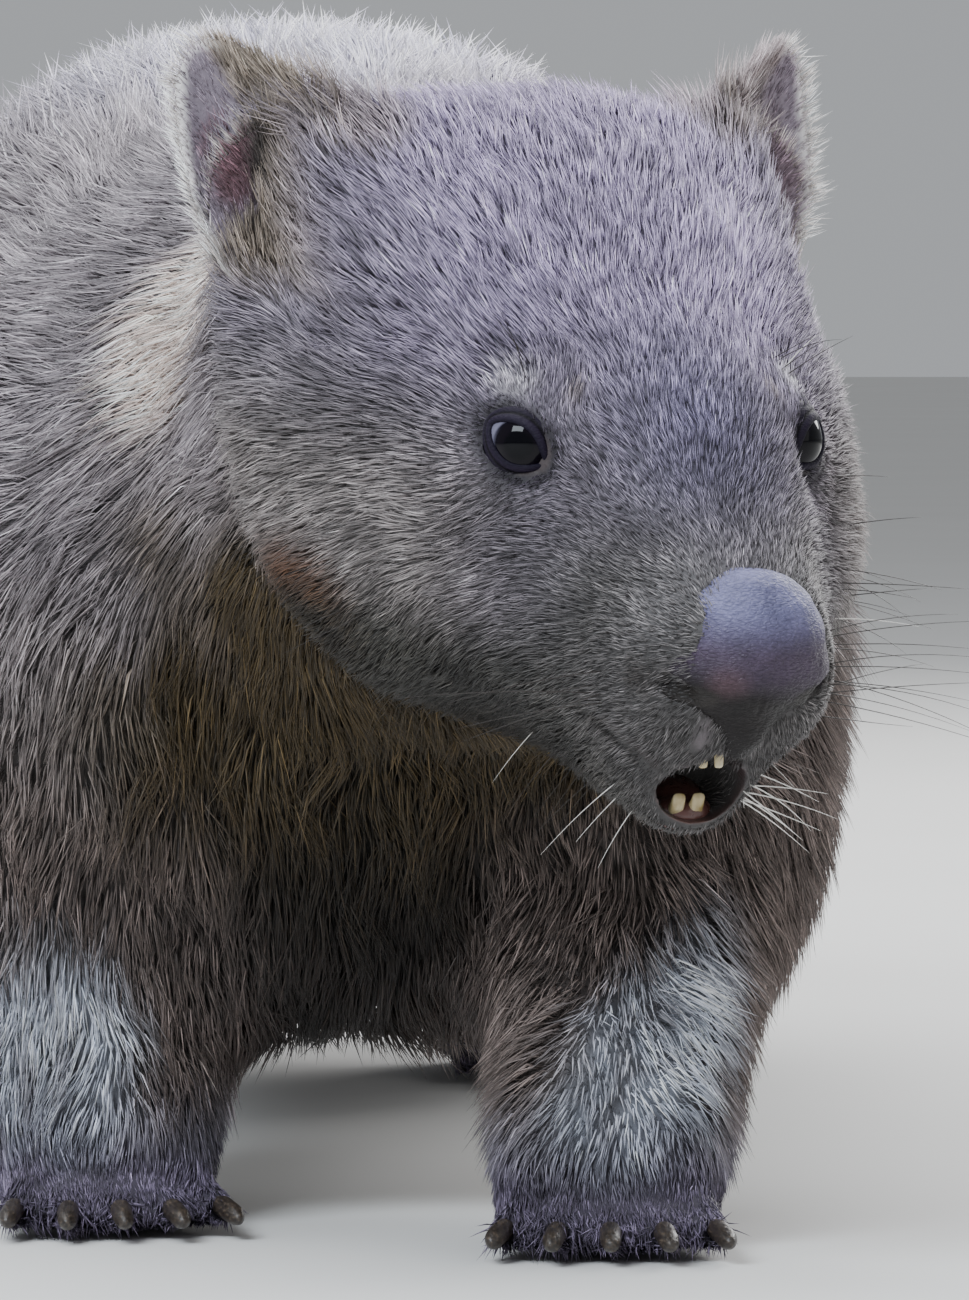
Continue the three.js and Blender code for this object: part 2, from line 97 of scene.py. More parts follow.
def from_head(points):
    return np.asarray(points) @ HEAD_AXES + np.array(BROW)


# Numbers over many points


def rise(low, high, values):
    """Goes smoothly from 0 at low to 1 at high."""
    share = np.clip((values - low) / (high - low), 0, 1)
    return share * share * (3 - 2 * share)


def blended(first, second, share):
    share = np.asarray(share)
    if np.ndim(first) > np.ndim(share) or np.ndim(second) > np.ndim(share):
        share = share[..., None]
    return first + (second - first) * share


def unit(vectors):
    return vectors / np.maximum(np.linalg.norm(vectors, axis=-1, keepdims=True), 1e-9)


def spot(points, centre, radii):
    """1 at a centre, falling smoothly to 0 at the radii."""
    return 1 - rise(0, 1, np.linalg.norm((points - np.array(centre)) / np.array(radii), axis=-1))


def wander(points, scale, seed):
    """Smooth random vectors that change over about the given distance."""
    shift = Vector((seed * 17.3, seed * 5.1, seed * 9.7))
    return np.array([noise.noise_vector(Vector(p) / scale + shift) for p in points])


def drift(points, scale, seed):
    """A smooth random number for each point, mostly from -0.5 to 0.5."""
    shift = Vector((seed * 11.9, seed * 3.7, seed * 7.3))
    return np.array([noise.noise(Vector(p) / scale + shift) for p in points])


# Meshes


def points_of(mesh):
    flat = np.empty(len(mesh.vertices) * 3, np.float32)
    mesh.vertices.foreach_get("co", flat)
    return flat.reshape(-1, 3).astype(float) / MM


def set_points(mesh, points):
    mesh.vertices.foreach_set("co", (points * MM).astype(np.float32).ravel())
    mesh.update()


def normals_of(mesh):
    flat = np.empty(len(mesh.vertices) * 3, np.float32)
    mesh.vertex_normals.foreach_get("vector", flat)
    return flat.reshape(-1, 3).astype(float)


def edges_of(mesh):
    flat = np.empty(len(mesh.edges) * 2, np.int32)
    mesh.edges.foreach_get("vertices", flat)
    return flat.reshape(-1, 2)


def triangles_of(mesh):
    mesh.calc_loop_triangles()
    flat = np.empty(len(mesh.loop_triangles) * 3, np.int32)
    mesh.loop_triangles.foreach_get("vertices", flat)
    return flat.reshape(-1, 3)


def only(piece):
    """Makes a piece the one that operators act on."""
    bpy.ops.object.select_all(action="DESELECT")
    piece.select_set(True)
    bpy.context.view_layer.objects.active = piece
    return piece


def copied(nodes, name):
    """One new piece made of copies of CAD nodes, with the doubles of each merged."""
    copies = []
    for node in nodes:
        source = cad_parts[node]
        copy = bpy.data.objects.new(name, source.data.copy())
        bpy.context.collection.objects.link(copy)
        copies.append(copy)
    bpy.ops.object.select_all(action="DESELECT")
    for copy in copies:
        copy.select_set(True)
    bpy.context.view_layer.objects.active = copies[0]
    bpy.ops.object.mode_set(mode="EDIT")
    bpy.ops.mesh.select_all(action="SELECT")
    bpy.ops.mesh.remove_doubles(threshold=1e-6)
    bpy.ops.mesh.normals_make_consistent(inside=False)
    bpy.ops.object.mode_set(mode="OBJECT")
    if len(copies) > 1:
        bpy.ops.object.join()
    piece = bpy.context.view_layer.objects.active
    piece.name = piece.data.name = name
    piece.data.materials.clear()
    return piece


def modified(piece, kind, **settings):
    """Adds one modifier to a piece and applies it."""
    only(piece)
    modifier = piece.modifiers.new(kind.title(), kind)
    for key, value in settings.items():
        setattr(modifier, key, value)
    bpy.ops.object.modifier_apply(modifier=modifier.name)
    return piece


def relaxed(points, edges, strength, rounds):
    """Moves each point towards the middle of its neighbours, by its own strength."""
    a, b = edges.T
    count = len(points)
    neighbours = np.bincount(a, minlength=count) + np.bincount(b, minlength=count)
    flat = points.ndim == 1
    values = points[:, None] if flat else points
    strength = np.broadcast_to(strength, count)[:, None]
    for _ in range(rounds):
        total = np.stack(
            [
                np.bincount(a, values[b, k], count) + np.bincount(b, values[a, k], count)
                for k in range(values.shape[1])
            ],
            axis=1,
        )
        values = values + strength * (total / np.maximum(neighbours, 1)[:, None] - values)
    return values[:, 0] if flat else values


def mesh_from(name, points, faces, smooth=True):
    """A new piece from an array of points and one of faces that all have as many corners."""
    mesh = bpy.data.meshes.new(name)
    corners = faces.shape[1]
    mesh.vertices.add(len(points))
    mesh.vertices.foreach_set("co", (points * MM).astype(np.float32).ravel())
    mesh.loops.add(faces.size)
    mesh.loops.foreach_set("vertex_index", faces.astype(np.int32).ravel())
    mesh.polygons.add(len(faces))
    mesh.polygons.foreach_set("loop_start", np.arange(0, faces.size, corners, dtype=np.int32))
    mesh.polygons.foreach_set("use_smooth", np.full(len(faces), smooth))
    mesh.update(calc_edges=True)
    piece = bpy.data.objects.new(name, mesh)
    bpy.context.collection.objects.link(piece)
    return piece


def paint(piece, colours, name="coat"):
    """Stores a colour on each point, which the piece's material reads."""
    layer = piece.data.color_attributes.new(name, "FLOAT_COLOR", "POINT")
    rgba = np.ones((len(colours), 4), np.float32)
    rgba[:, :3] = np.clip(colours, 0, 1)
    layer.data.foreach_set("color", rgba.ravel())


def store(piece, values, name):
    """Stores a number on each point, which the piece's material reads."""
    layer = piece.data.attributes.new(name, "FLOAT", "POINT")
    layer.data.foreach_set("value", np.asarray(values, np.float32))


def finish_piece(piece, material, slot, *nodes):
    piece.data.materials.clear()
    piece.data.materials.append(material)
    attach(piece, "root")
    if nodes:
        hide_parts(*nodes)
    return piece


# Materials


class Number:
    """A shader socket that takes part in sums: each operator adds its Math node."""

    def __init__(self, sheet, socket):
        self.sheet = sheet
        self.socket = socket

    def _math(self, operation, *values):
        return self.sheet.add("ShaderNodeMath", {"operation": operation}, *values)

    def __add__(self, other):
        return self._math("ADD", self, other)

    def __radd__(self, other):
        return self._math("ADD", other, self)

    def __sub__(self, other):
        return self._math("SUBTRACT", self, other)

    def __rsub__(self, other):
        return self._math("SUBTRACT", other, self)

    def __mul__(self, other):
        return self._math("MULTIPLY", self, other)

    def __rmul__(self, other):
        return self._math("MULTIPLY", other, self)

    def __truediv__(self, other):
        return self._math("DIVIDE", self, other)

    def __rtruediv__(self, other):
        return self._math("DIVIDE", other, self)

    def __pow__(self, other):
        return self._math("POWER", self, other)

    def clamped(self):
        return self.sheet.add("ShaderNodeClamp", {}, self)


class Sheet:
    """A material's nodes, added one by one by their type, settings and inputs."""

    def __init__(self, name):
        self.material = bpy.data.materials.new(name)
        self.material.use_nodes = True
        self.tree = self.material.node_tree
        self.shader = self.tree.nodes["Principled BSDF"]

    def _feed(self, socket, value):
        if isinstance(value, Number):
            self.tree.links.new(value.socket, socket)
        elif isinstance(value, (tuple, list)) and socket.type == "RGBA":
            socket.default_value = (*value[:3], 1)
        else:
            socket.default_value = value

    def node(self, kind, settings, *values, **named):
        made = self.tree.nodes.new(kind)
        for key, value in settings.items():
            if key == "stops":
                ramp = made.color_ramp
                while len(ramp.elements) < len(value):
                    ramp.elements.new(0.5)
                for element, (place, colour) in zip(ramp.elements, value):
                    element.position = place
                    element.color = (*colour, 1) if len(colour) == 3 else colour
            else:
                setattr(made, key, value)
        for socket, value in zip(made.inputs, values):
            self._feed(socket, value)
        for key, value in named.items():
            self._feed(made.inputs[key.replace("_", " ")], value)
        return made

    def add(self, kind, settings, *values, output=0, **named):
        return Number(self, self.node(kind, settings, *values, **named).outputs[output])

    def place(self):
        return self.add("ShaderNodeTexCoord", {}, output="Object")

    def stretched(self, x, y, z):
        return self.add("ShaderNodeMapping", {}, self.place(), Scale=(x, y, z))

    def attribute(self, name, output="Color"):
        return self.add("ShaderNodeAttribute", {"attribute_name": name}, output=output)

    def speckle(self, scale, detail=2.0, vector=None, rough=0.5):
        vector = vector or self.place()
        return self.add("ShaderNodeTexNoise", {}, Vector=vector, Scale=scale, Detail=detail, Roughness=rough)

    def cells(self, scale, vector=None, feature="F1"):
        vector = vector or self.place()
        return self.add("ShaderNodeTexVoronoi", {"feature": feature}, Vector=vector, Scale=scale)

    def between(self, share, low, high):
        """A share of 0 to 1 as a number from low to high."""
        return self.add("ShaderNodeMapRange", {}, share, 0.0, 1.0, low, high)

    def mixed(self, share, first, second, blend="MIX"):
        settings = {"data_type": "RGBA", "blend_type": blend}
        made = self.node("ShaderNodeMix", settings)
        for socket, value in zip((made.inputs[0], made.inputs[6], made.inputs[7]), (share, first, second)):
            self._feed(socket, value)
        return Number(self, made.outputs[2])

    def bump(self, height, depth, strength=1.0):
        """A bump whose full height is a depth in millimetres."""
        return self.add("ShaderNodeBump", {}, Strength=strength, Distance=depth * MM, Height=height, output="Normal")

    def surface(self, **values):
        for key, value in values.items():
            self._feed(self.shader.inputs[key.replace("_", " ")], value)
        return self.material


def hair_material(name, roughness):
    sheet = Sheet(name)
    colour = sheet.attribute("coat")
    fine = sheet.speckle(900.0, 2.0)
    lightness = sheet.between(fine, 0.78, 1.22)
    grey = sheet.add("ShaderNodeCombineColor", {}, lightness, lightness, lightness)
    colour = sheet.mixed(1.0, colour, grey, "MULTIPLY")
    return sheet.surface(
        Base_Color=colour,
        Roughness=sheet.between(fine, roughness - 0.08, roughness + 0.08),
        Specular_IOR_Level=0.3,
        Sheen_Weight=0.05,
        Sheen_Roughness=0.4,
    )


def skin_material():
    sheet = Sheet("skin")
    colour = sheet.attribute("coat")
    wet = sheet.attribute("wet", "Fac")
    pores = sheet.speckle(700.0, 4.0)
    folds = sheet.speckle(160.0, 3.0)
    lightness = sheet.between(pores, 0.7, 1.25)
    grey = sheet.add("ShaderNodeCombineColor", {}, lightness, lightness, lightness)
    colour = sheet.mixed(1.0, colour, grey, "MULTIPLY")
    dull = sheet.between(folds, 0.6, 0.85)
    return sheet.surface(
        Base_Color=colour,
        Roughness=dull * (1.0 - wet) + wet * 0.22,
        Normal=sheet.bump(pores * 0.6 + folds, 0.5),
    )


def pad_material():
    """The leathery nose pad: fine pebbles, drawn out across it."""
    sheet = Sheet("nose_leather")
    colour = sheet.attribute("coat")
    pebbles = sheet.cells(1300.0, sheet.stretched(0.6, 0.6, 1.25))
    cracks = sheet.cells(900.0, sheet.stretched(0.55, 0.55, 1.3), "DISTANCE_TO_EDGE")
    lightness = sheet.between(pebbles, 1.22, 0.72)
    grey = sheet.add("ShaderNodeCombineColor", {}, lightness, lightness, lightness)
    colour = sheet.mixed(1.0, colour, grey, "MULTIPLY")
    height = (1.0 - pebbles) * 0.7 + (cracks * 5.0).clamped() * 0.5
    return sheet.surface(
        Base_Color=colour,
        Roughness=sheet.between(pebbles, 0.42, 0.6),
        Specular_IOR_Level=0.26,
        Normal=sheet.bump(height, 0.32),
    )


def lid_material():
    sheet = Sheet("lid_skin")
    colour = sheet.attribute("coat")
    creases = sheet.speckle(900.0, 4.0, sheet.stretched(1.0, 1.0, 2.2))
    lightness = sheet.between(creases, 0.7, 1.3)
    grey = sheet.add("ShaderNodeCombineColor", {}, lightness, lightness, lightness)
    colour = sheet.mixed(1.0, colour, grey, "MULTIPLY")
    return sheet.surface(
        Base_Color=colour,
        Roughness=sheet.between(creases, 0.5, 0.66),
        Specular_IOR_Level=0.11,
        Normal=sheet.bump(creases, 0.35),
    )


def eye_material():
    sheet = Sheet("eyeball")
    colour = sheet.attribute("coat")
    return sheet.surface(
        Base_Color=colour,
        Roughness=0.3,
        Specular_IOR_Level=0.0,
        Coat_Weight=1.0,
        Coat_Roughness=0.012,
        Coat_IOR=1.24,
    )


def horn_material():
    sheet = Sheet("claw_horn")
    grain = sheet.speckle(420.0, 4.0, sheet.stretched(3.0, 0.5, 3.0))
    colour = sheet.add(
        "ShaderNodeValToRGB",
        {"stops": [(0.3, (0.012, 0.009, 0.008)), (0.55, (0.035, 0.026, 0.02)), (0.75, (0.09, 0.066, 0.046))]},
        grain,
    )
    return sheet.surface(
        Base_Color=colour,
        Roughness=sheet.between(grain, 0.3, 0.5),
        Normal=sheet.bump(grain, 0.25),
    )


def tooth_material():
    sheet = Sheet("tooth_enamel")
    stains = sheet.speckle(300.0, 3.0, sheet.stretched(1.0, 1.0, 0.4))
    colour = sheet.add(
        "ShaderNodeValToRGB",
        {"stops": [(0.3, (0.26, 0.19, 0.075)), (0.5, (0.42, 0.345, 0.19)), (0.7, (0.55, 0.49, 0.35))]},
        stains,
    )
    return sheet.surface(Base_Color=colour, Roughness=0.22, Normal=sheet.bump(stains, 0.1))


def floor_material():
    sheet = Sheet("studio_floor")
    mottle = sheet.speckle(3.0, 4.0)
    colour = sheet.mixed(mottle, (0.62, 0.61, 0.59), (0.68, 0.67, 0.65))
    return sheet.surface(Base_Color=colour, Roughness=0.8)


# Places on the face, in the head's own frame

NOSE_TIP = np.array((0, -78, -38))
MOUTH = np.array((-3.8, -62, -79))
# The line between the lips, from the opening back along one cheek.
LIP_LINE = np.array([(-17.9, -56.2, -71.3), (-23.3, -52.4, -66.1), (-27.7, -44.1, -62.2), (-33, -34, -63)])
EAR_LEAN = np.array((17, 29, 58)) / np.linalg.norm((17, 29, 58))
EYES_IN_HEAD = {side: in_head(np.array(centre)) for side, centre in EYE_CENTRES.items()}


def from_line(points, path):
    """The distance of each point from a path of straight pieces."""
    nearest = np.full(len(points), 1e9)
    for start, end in zip(path[:-1], path[1:]):
        run = end - start
        share = np.clip((points - start) @ run / (run @ run), 0, 1)
        nearest = np.minimum(nearest, np.linalg.norm(points - start - share[:, None] * run, axis=1))
    return nearest


def from_lip_line(heads):
    """The distance from the line between the lips, on either cheek."""
    mirrored = heads * (-1, 1, 1) + (2 * MOUTH[0], 0, 0)
    return np.minimum(from_line(heads, LIP_LINE), from_line(mirrored, LIP_LINE))


def across_ear(heads):
    """How far a point lies outside the long fur's edge on the ear of its side."""
    edge = np.interp(heads[:, 2], [14, 23, 39, 57, 66, 79, 86], [95, 85, 70, 73, 75.5, 84, 92])
    return np.abs(heads[:, 0]) - edge


def from_nearest_eye(heads):
    """The offset of each point from the eye on its own side."""
    right, left = EYES_IN_HEAD["right"], EYES_IN_HEAD["left"]
    return heads - np.where(heads[:, :1] > 0, left, right)


# The eyeball is wider than the CAD's, and set further in, so that its front lies where the CAD's does.
EYEBALL = 12.2
EYE_SUNK = EYEBALL - EYE_RADIUS - 0.45
SLIT = {"half_width": 8.2, "upper": 4.9, "lower": 4.6, "tilt": math.radians(27)}


def eye_axes(side):
    """Back along the slit, up, and out of the head, at one eye."""
    sign = SIDES[side]
    out = unit(np.array((sign * math.sin(EYE_AIM), -math.cos(EYE_AIM), 0.1)) @ HEAD_AXES)
    up = unit(np.array(UP) - out * np.dot(UP, out))
    back = unit(np.cross(up, out) * sign)
    return np.array([back, up, out])


def on_eye(side, local):
    axes = eye_axes(side)
    return np.asarray(local) @ axes + np.array(EYE_CENTRES[side]) - axes[2] * EYE_SUNK


def round_slit(points, margin):
    """How far points of the body lie from either eye's middle: 1 at the slit's edge and a margin."""
    nearest = np.full(len(points), 9.0)
    for side in SIDES:
        local = (points - on_eye(side, (0, 0, 0))) @ eye_axes(side).T
        tilt = SLIT["tilt"]
        along = local[:, 0] * math.cos(tilt) + local[:, 1] * math.sin(tilt)
        over = local[:, 1] * math.cos(tilt) - local[:, 0] * math.sin(tilt)
        away = np.hypot(along / (SLIT["half_width"] + margin), over / (SLIT["upper"] + margin))
        nearest = np.minimum(nearest, np.where(local[:, 2] > 0, away, 9.0))
    return nearest


# Colours, in linear light. The skin and the coat read the same ones. Some of them hold painted light and shade, as
# marked.

COAT = {
    # A near-white blue for the top of the body: painted sky light.
    "back": (0.80, 0.78, 0.96),
    "shoulder": (0.325, 0.288, 0.31),
    "flank": (0.27, 0.238, 0.235),
    # chest: its own dark brown, darkened further as painted shade; belly: near black, painted shade under the body
    # and between the forelegs
    "chest": (0.072, 0.050, 0.023),
    "belly": (0.012, 0.008, 0.005),
    "pale_neck": (0.98, 0.82, 0.75),
    # silver and bridge: the face's grey-brown, lightened and blued by painted cool sky light on the crown, forehead
    # and nose bridge
    "silver": (0.328, 0.272, 0.407),
    "bridge": (0.158, 0.141, 0.240),
    "temple": (0.188, 0.163, 0.200),
    "cheek": (0.28, 0.25, 0.24),
    "rusty": (0.16, 0.064, 0.028),
    # jowl and throat: near black, painted shade under the head
    "jowl": (0.033, 0.032, 0.024),
    "muzzle": (0.110, 0.103, 0.096),
    "by_nose": (0.180, 0.168, 0.172),
    "brow": (0.50, 0.47, 0.51),
    "olive": (0.20, 0.165, 0.11),
    "throat": (0.024, 0.019, 0.014),
    "leg": (0.165, 0.130, 0.118),
    # The blue-white shine on the front of each foreleg: painted sheen.
    "foreleg_painted_sheen": (0.80, 0.86, 1.0),
    # The lower forelegs' grey and the paws' dark brown carry a cool violet cast of painted light; the lower forelegs
    # are lightened as painted light too.
    "foreleg_low": (0.38, 0.37, 0.41),
    "paw": (0.12, 0.098, 0.145),
    "ear_back": (0.26, 0.23, 0.22),
    "ear_rim": (0.92, 0.88, 0.86),
    "ear_inner": (0.185, 0.152, 0.185),
    "ear_pink": (0.125, 0.058, 0.070),
    "ear_fur": (0.19, 0.155, 0.125),
    "dark": (0.035, 0.028, 0.025),
    "by_lids": (0.040, 0.032, 0.046),
}
C = {name: np.array(value) for name, value in COAT.items()}


def markings_and_painted_light(points, normals, part):
    """The coat's colour at points of the skin, from where they lie, which way they face and how much of each part
    they are: its markings, with painted light and shade.
    """
    h = in_head(points)
    x, y, z = h.T
    side = np.abs(x)
    mirrored = np.c_[side, y, z]
    high = points[:, 2]
    front = rise(40, -220, points[:, 1])
    # The top of the body takes the near-white blue of back: painted sky light, lighter and bluer than the grey-brown
    # shoulders and flanks.
    colour = blended(C["back"] + np.zeros_like(points), C["shoulder"], rise(345, 290, high))
    patchy = high + 40 * drift(points, 60, 14) + 26 * drift(points, 22, 15)
    colour = blended(colour, C["flank"], rise(235, 130, patchy))
    # Low at the front the coat darkens through half-dark flank to the chest's brown and the near-black belly: partly
    # the chest's own dark brown, partly painted shade beneath the head, on the sides that face down and between the
    # forelegs.
    colour = blended(colour, C["flank"] * 0.5, front * rise(165, 105, patchy))
    under = rise(0.2, -0.6, normals[:, 2])
    inward = rise(88, 40, np.abs(points[:, 0]))
    colour = blended(colour, C["chest"], np.clip(front * rise(205, 140, patchy) * inward + 0.7 * under, 0, 1))
    colour = blended(colour, C["belly"], rise(150, 90, high) * np.maximum(under, inward * front))
    near_ear = spot(mirrored, (74, 154, 0), (34, 36, 54))
    colour = blended(colour, C["pale_neck"], 0.97 * rise(0.1, 0.55, near_ear) * (1 - part["head"]))
    leg = part["leg"]
    # The lower forelegs: their own grey, lightened and cooled as painted light.
    lower = blended(C["leg"] + 0 * colour, C["foreleg_low"], rise(48, 26, high) * front)
    colour = blended(colour, lower, leg * 0.95)
    # On the front of each foreleg, where it faces forward, a streaky blue-white shine: painted sheen.
    facing = rise(0.3, -0.4, normals[:, 1])
    across = points[:, 0] - 0.35 * (high - 56)
    painted_sheen = np.hypot((across - 79) / 20, (high - 52) / 44)
    painted_sheen = np.minimum(painted_sheen, np.hypot((points[:, 0] + 83) / 24, (high - 50) / 42))
    streaks = rise(-0.35, 0.25, drift(points * (1, 1, 0.25), 8, 4))
    painted_sheen = rise(1.15, 0.45, painted_sheen + 0.25 * drift(points, 14, 12)) * front * facing * leg
    colour = blended(colour, C["foreleg_painted_sheen"], 0.92 * painted_sheen * (0.35 + 0.65 * streaks))
    # The paws: their own dark brown, with a violet cast of painted cool light.
    colour = blended(colour, C["paw"], part["paw"])

    # Upward and inward the face turns silver, and blue-violet on the nose bridge: its own grey-brown with painted
    # cool sky light.
    face = blended(C["temple"] + 0 * colour, C["silver"], rise(-6, 42, z + 0.2 * y) * rise(80, 30, side))
    face = blended(face, C["bridge"], 0.85 * spot(mirrored, (0, -14, 4), (34, 58, 50)))
    face = blended(face, C["cheek"], 0.9 * rise(34, 62, side) * rise(16, -22, z))
    face = blended(face, C["rusty"], rise(0, 0.8, spot(mirrored, (72, 58, -54), (34, 36, 28))))
    # The lower jaw and the throat go near black: painted shade under the head.
    face = blended(face, C["jowl"], 0.9 * rise(-34, -58, z) * rise(-52, -20, y))
    face = blended(face, C["throat"], 0.95 * rise(-66, -84, z) * rise(-58, -34, y))
    face = blended(face, C["muzzle"], 0.85 * rise(8, -40, y) * rise(0, -30, z))
    face = blended(face, C["by_nose"], 0.8 * spot(mirrored, (22, -58, -26), (20, 22, 20)))
    eye = from_nearest_eye(h)
    outer = np.c_[eye[:, 0] * np.sign(x + 1e-9), eye[:, 1:]]
    face = blended(face, C["brow"], 0.7 * rise(0.1, 0.9, spot(outer, (4, 4, 15), (15, 15, 9))))
    face = blended(face, C["brow"], 0.5 * rise(0.1, 0.7, spot(outer, (3, 2, -16), (14, 16, 8))))
    face = blended(face, C["olive"], 0.8 * rise(0.1, 0.8, spot(outer, (-9.5, -9, 6), (7, 7, 17))))
    face = blended(face, C["by_lids"], rise(1.4, 1.02, round_slit(points, 3.4)))
    face = blended(face, C["dark"], 0.85 * rise(3.4, 1.2, from_lip_line(h)))
    face = blended(face, C["dark"] * 1.3, 0.8 * spot(mirrored, (26, -60, -46), (7, 9, 7)))
    colour = blended(colour, face, part["head"])

    ear_front = rise(0.3, -0.2, normals @ np.array(BACK))
    ear = blended(C["ear_back"] + 0 * colour, C["ear_inner"], ear_front)
    seen_ear = np.where(x < 0, 0.9, 0.35)
    pink = rise(0.1, 0.7, spot(mirrored, (79, 126, 50), (12, 40, 22)))
    ear = blended(ear, C["ear_pink"], seen_ear * ear_front * pink)
    # The far ear's inner side and long fur are made lighter, the fur bluer too: painted light, for the ear that faces
    # away from the key light.
    far = (x > 0)[:, None]
    ear = np.where(far, ear * 1.5, ear)
    fur = np.where(far, C["ear_fur"] * (1.6, 1.65, 2.1), C["ear_fur"])
    ear = blended(ear, fur, rise(3, -2, across_ear(h)))
    colour = blended(colour, ear, part["ear"])
    # A dark spot in each ear's hollow, strongest on the near ear: painted shade.
    slot = rise(0.1, 0.6, spot(mirrored, (72, 122, 50), (6.5, 22, 20)))
    colour = blended(colour, C["dark"], seen_ear * ear_front * slot * part["ear"])
    # A dark streak where each ear rises from the crown: painted shade.
    streak = rise(0.1, 0.7, spot(mirrored, (59, 106, 62), (7, 20, 14)))
    colour = blended(colour, C["dark"] * 2.4, 0.7 * streak)
    by_crown = rise(0.1, 0.8, spot(mirrored, (50, 104, 64), (24, 34, 24)))
    colour = blended(colour, C["ear_fur"] * (1.5, 1.5, 1.6), 0.6 * by_crown * part["head"])
    colour = blended(colour, C["ear_rim"], 0.85 * part["rim"])
    return colour * (1 + 0.22 * drift(points, 34, 3) + 0.16 * drift(points, 11, 6))[:, None]


def pinch(heads):
    """How much narrower the nose pad's upper right side is than in the solids."""
    return 1 - 0.15 * rise(-58, -28, heads[:, 2]) * (heads[:, 0] < 0)


def bare(points):
    """How bare the skin is, 0 to 1, with its colour and how wet it is: the mouth, the lips and by the nose."""
    h = in_head(points)
    mirrored = np.c_[np.abs(h[:, 0]), h[:, 1:]]
    mouth = np.linalg.norm((h - MOUTH) / (12.5, 24, 10.5), axis=1)
    inside = rise(1.1, 0.98, mouth)
    cleft = rise(0.05, 0.5, spot(h, (-10.5, -68, -60), (3.2, 9, 9.5)))
    unpinched = h * np.c_[np.where(h[:, 0] < 0, 1.15, 1) / pinch(h), np.ones((len(h), 2))]
    nose = np.linalg.norm((unpinched - (0, -66, -38)) / (21.5, 20, 18.5), axis=1)
    by_nose = rise(1.06, 0.96, nose)
    by_eye = rise(1.1, 0.95, round_slit(points, 2.0))
    line = rise(1.9, 0.9, from_lip_line(h))
    amount = np.clip(np.maximum.reduce([inside, cleft, by_nose, by_eye, 0.8 * line]), 0, 1)
    colour = np.tile(np.array((0.030, 0.020, 0.021)), (len(points), 1))
    colour = blended(colour, np.array((0.085, 0.07, 0.076)), cleft)
    gum = rise(-77, -83, h[:, 2]) * rise(-44, -50, h[:, 1])
    colour = blended(colour, np.array((0.19, 0.075, 0.058)), 0.9 * gum * inside)
    # Further back inside the mouth the skin goes near black: painted shade in the mouth's depth.
    colour = blended(colour, np.array((0.010, 0.005, 0.005)), inside * rise(-55, -47, h[:, 1]))
    wet = np.clip(0.8 * inside + 0.7 * cleft + 0.3 * by_eye, 0, 1)
    return amount, colour, wet


# The skin

SKIN = {}


def depth_of_coat(points, part):
    """How far the skin lies under the coat's tips, in millimetres."""
    h = in_head(points)
    x, y, z = h.T
    depth = 15.0 + 0 * x
    depth = blended(depth, 12.0, part["neck"])
    depth = blended(depth, 9.0, part["leg"] * rise(150, 110, points[:, 2]))
    depth = blended(depth, 2.2, part["paw"])
    face = 2.6 + 2.4 * rise(-30, 40, y) + 2.2 * rise(50, 120, y)
    face = blended(face, 1.5, rise(-38, -62, y))
    eye = np.linalg.norm(from_nearest_eye(h), axis=1)
    face = blended(face, 1.4, rise(26, 13, eye))
    mouth = np.linalg.norm((h - MOUTH) / (16, 28, 14), axis=1)
    face = blended(face, 0.7, rise(1.4, 1.0, mouth))
    depth = blended(depth, face, part["head"])
    depth = blended(depth, 0.7, part["ear"])
    return blended(depth, 3.0, part["by_ear"])


def make_skin(voxel):
    skin = copied(FLESH, "skin")
    modified(skin, "DISPLACE", strength=0.45 * MM, mid_level=0.0)
    modified(skin, "REMESH", mode="VOXEL", voxel_size=voxel * MM, adaptivity=0.0)
    points = points_of(skin.data)
    h = in_head(points)
    kept = (h[:, 1] < 150) & (h[:, 2] > -105) & (np.abs(h[:, 0]) < 115)
    loose = skin.vertex_groups.new(name="loose")
    loose.add(np.flatnonzero(~kept).tolist(), 1.0, "REPLACE")
    head_share = kept.mean()
    target = SKIN_TRIANGLES / (2 * len(skin.data.polygons))
    modified(skin, "DECIMATE", ratio=max(target, head_share + 0.02), vertex_group="loose")
    skin.vertex_groups.clear()
    mesh = skin.data
    points = points_of(mesh)
    label_parts(points, edges_of(mesh))
    shape_skin(skin)
    return skin


SKIN_TRIANGLES = 190000


def label_parts(points, edges):
    """Finds how much of each part every point of the skin is, by the CAD node that it lies nearest to."""
    corners, faces, owners = [], [], []
    first = 0
    for index, node in enumerate(FLESH):
        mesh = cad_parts[node].data
        own = points_of(mesh)
        corners.append(own)
        triangles = triangles_of(mesh) + first
        faces.append(triangles)
        owners.append(np.full(len(triangles), index))
        first += len(own)
    tree = BVHTree.FromPolygons(np.concatenate(corners).tolist(), np.concatenate(faces).tolist())
    owners = np.concatenate(owners)
    owner = owners[[tree.find_nearest(p)[2] for p in points.tolist()]]

    def share(names, rounds):
        mask = np.isin(owner, [FLESH.index(name) for name in names]).astype(float)
        return relaxed(mask, edges, 0.5, rounds)

    part = {
        "head": share(["head", "jaw", "nose", *EARS], 24),
        "neck": share(["neck"], 24),
        "leg": share([*LEGS, *PAWS], 24),
        "paw": share(PAWS, 10),
        "ear": share(EARS, 5),
    }
    h = in_head(points)
    by_ear = spot(np.c_[np.abs(h[:, 0]), h[:, 1:]], (66, 112, 46), (26, 34, 30))
    part["by_ear"] = rise(0.1, 0.7, by_ear) * part["head"]
    raised = spot(np.c_[np.abs(h[:, 0]), h[:, 1:]], (52, 114, 66), (20, 30, 16))
    part["raised"] = rise(0.1, 0.7, raised) * part["head"]
    SKIN["part"] = part
    SKIN["owner"] = owner


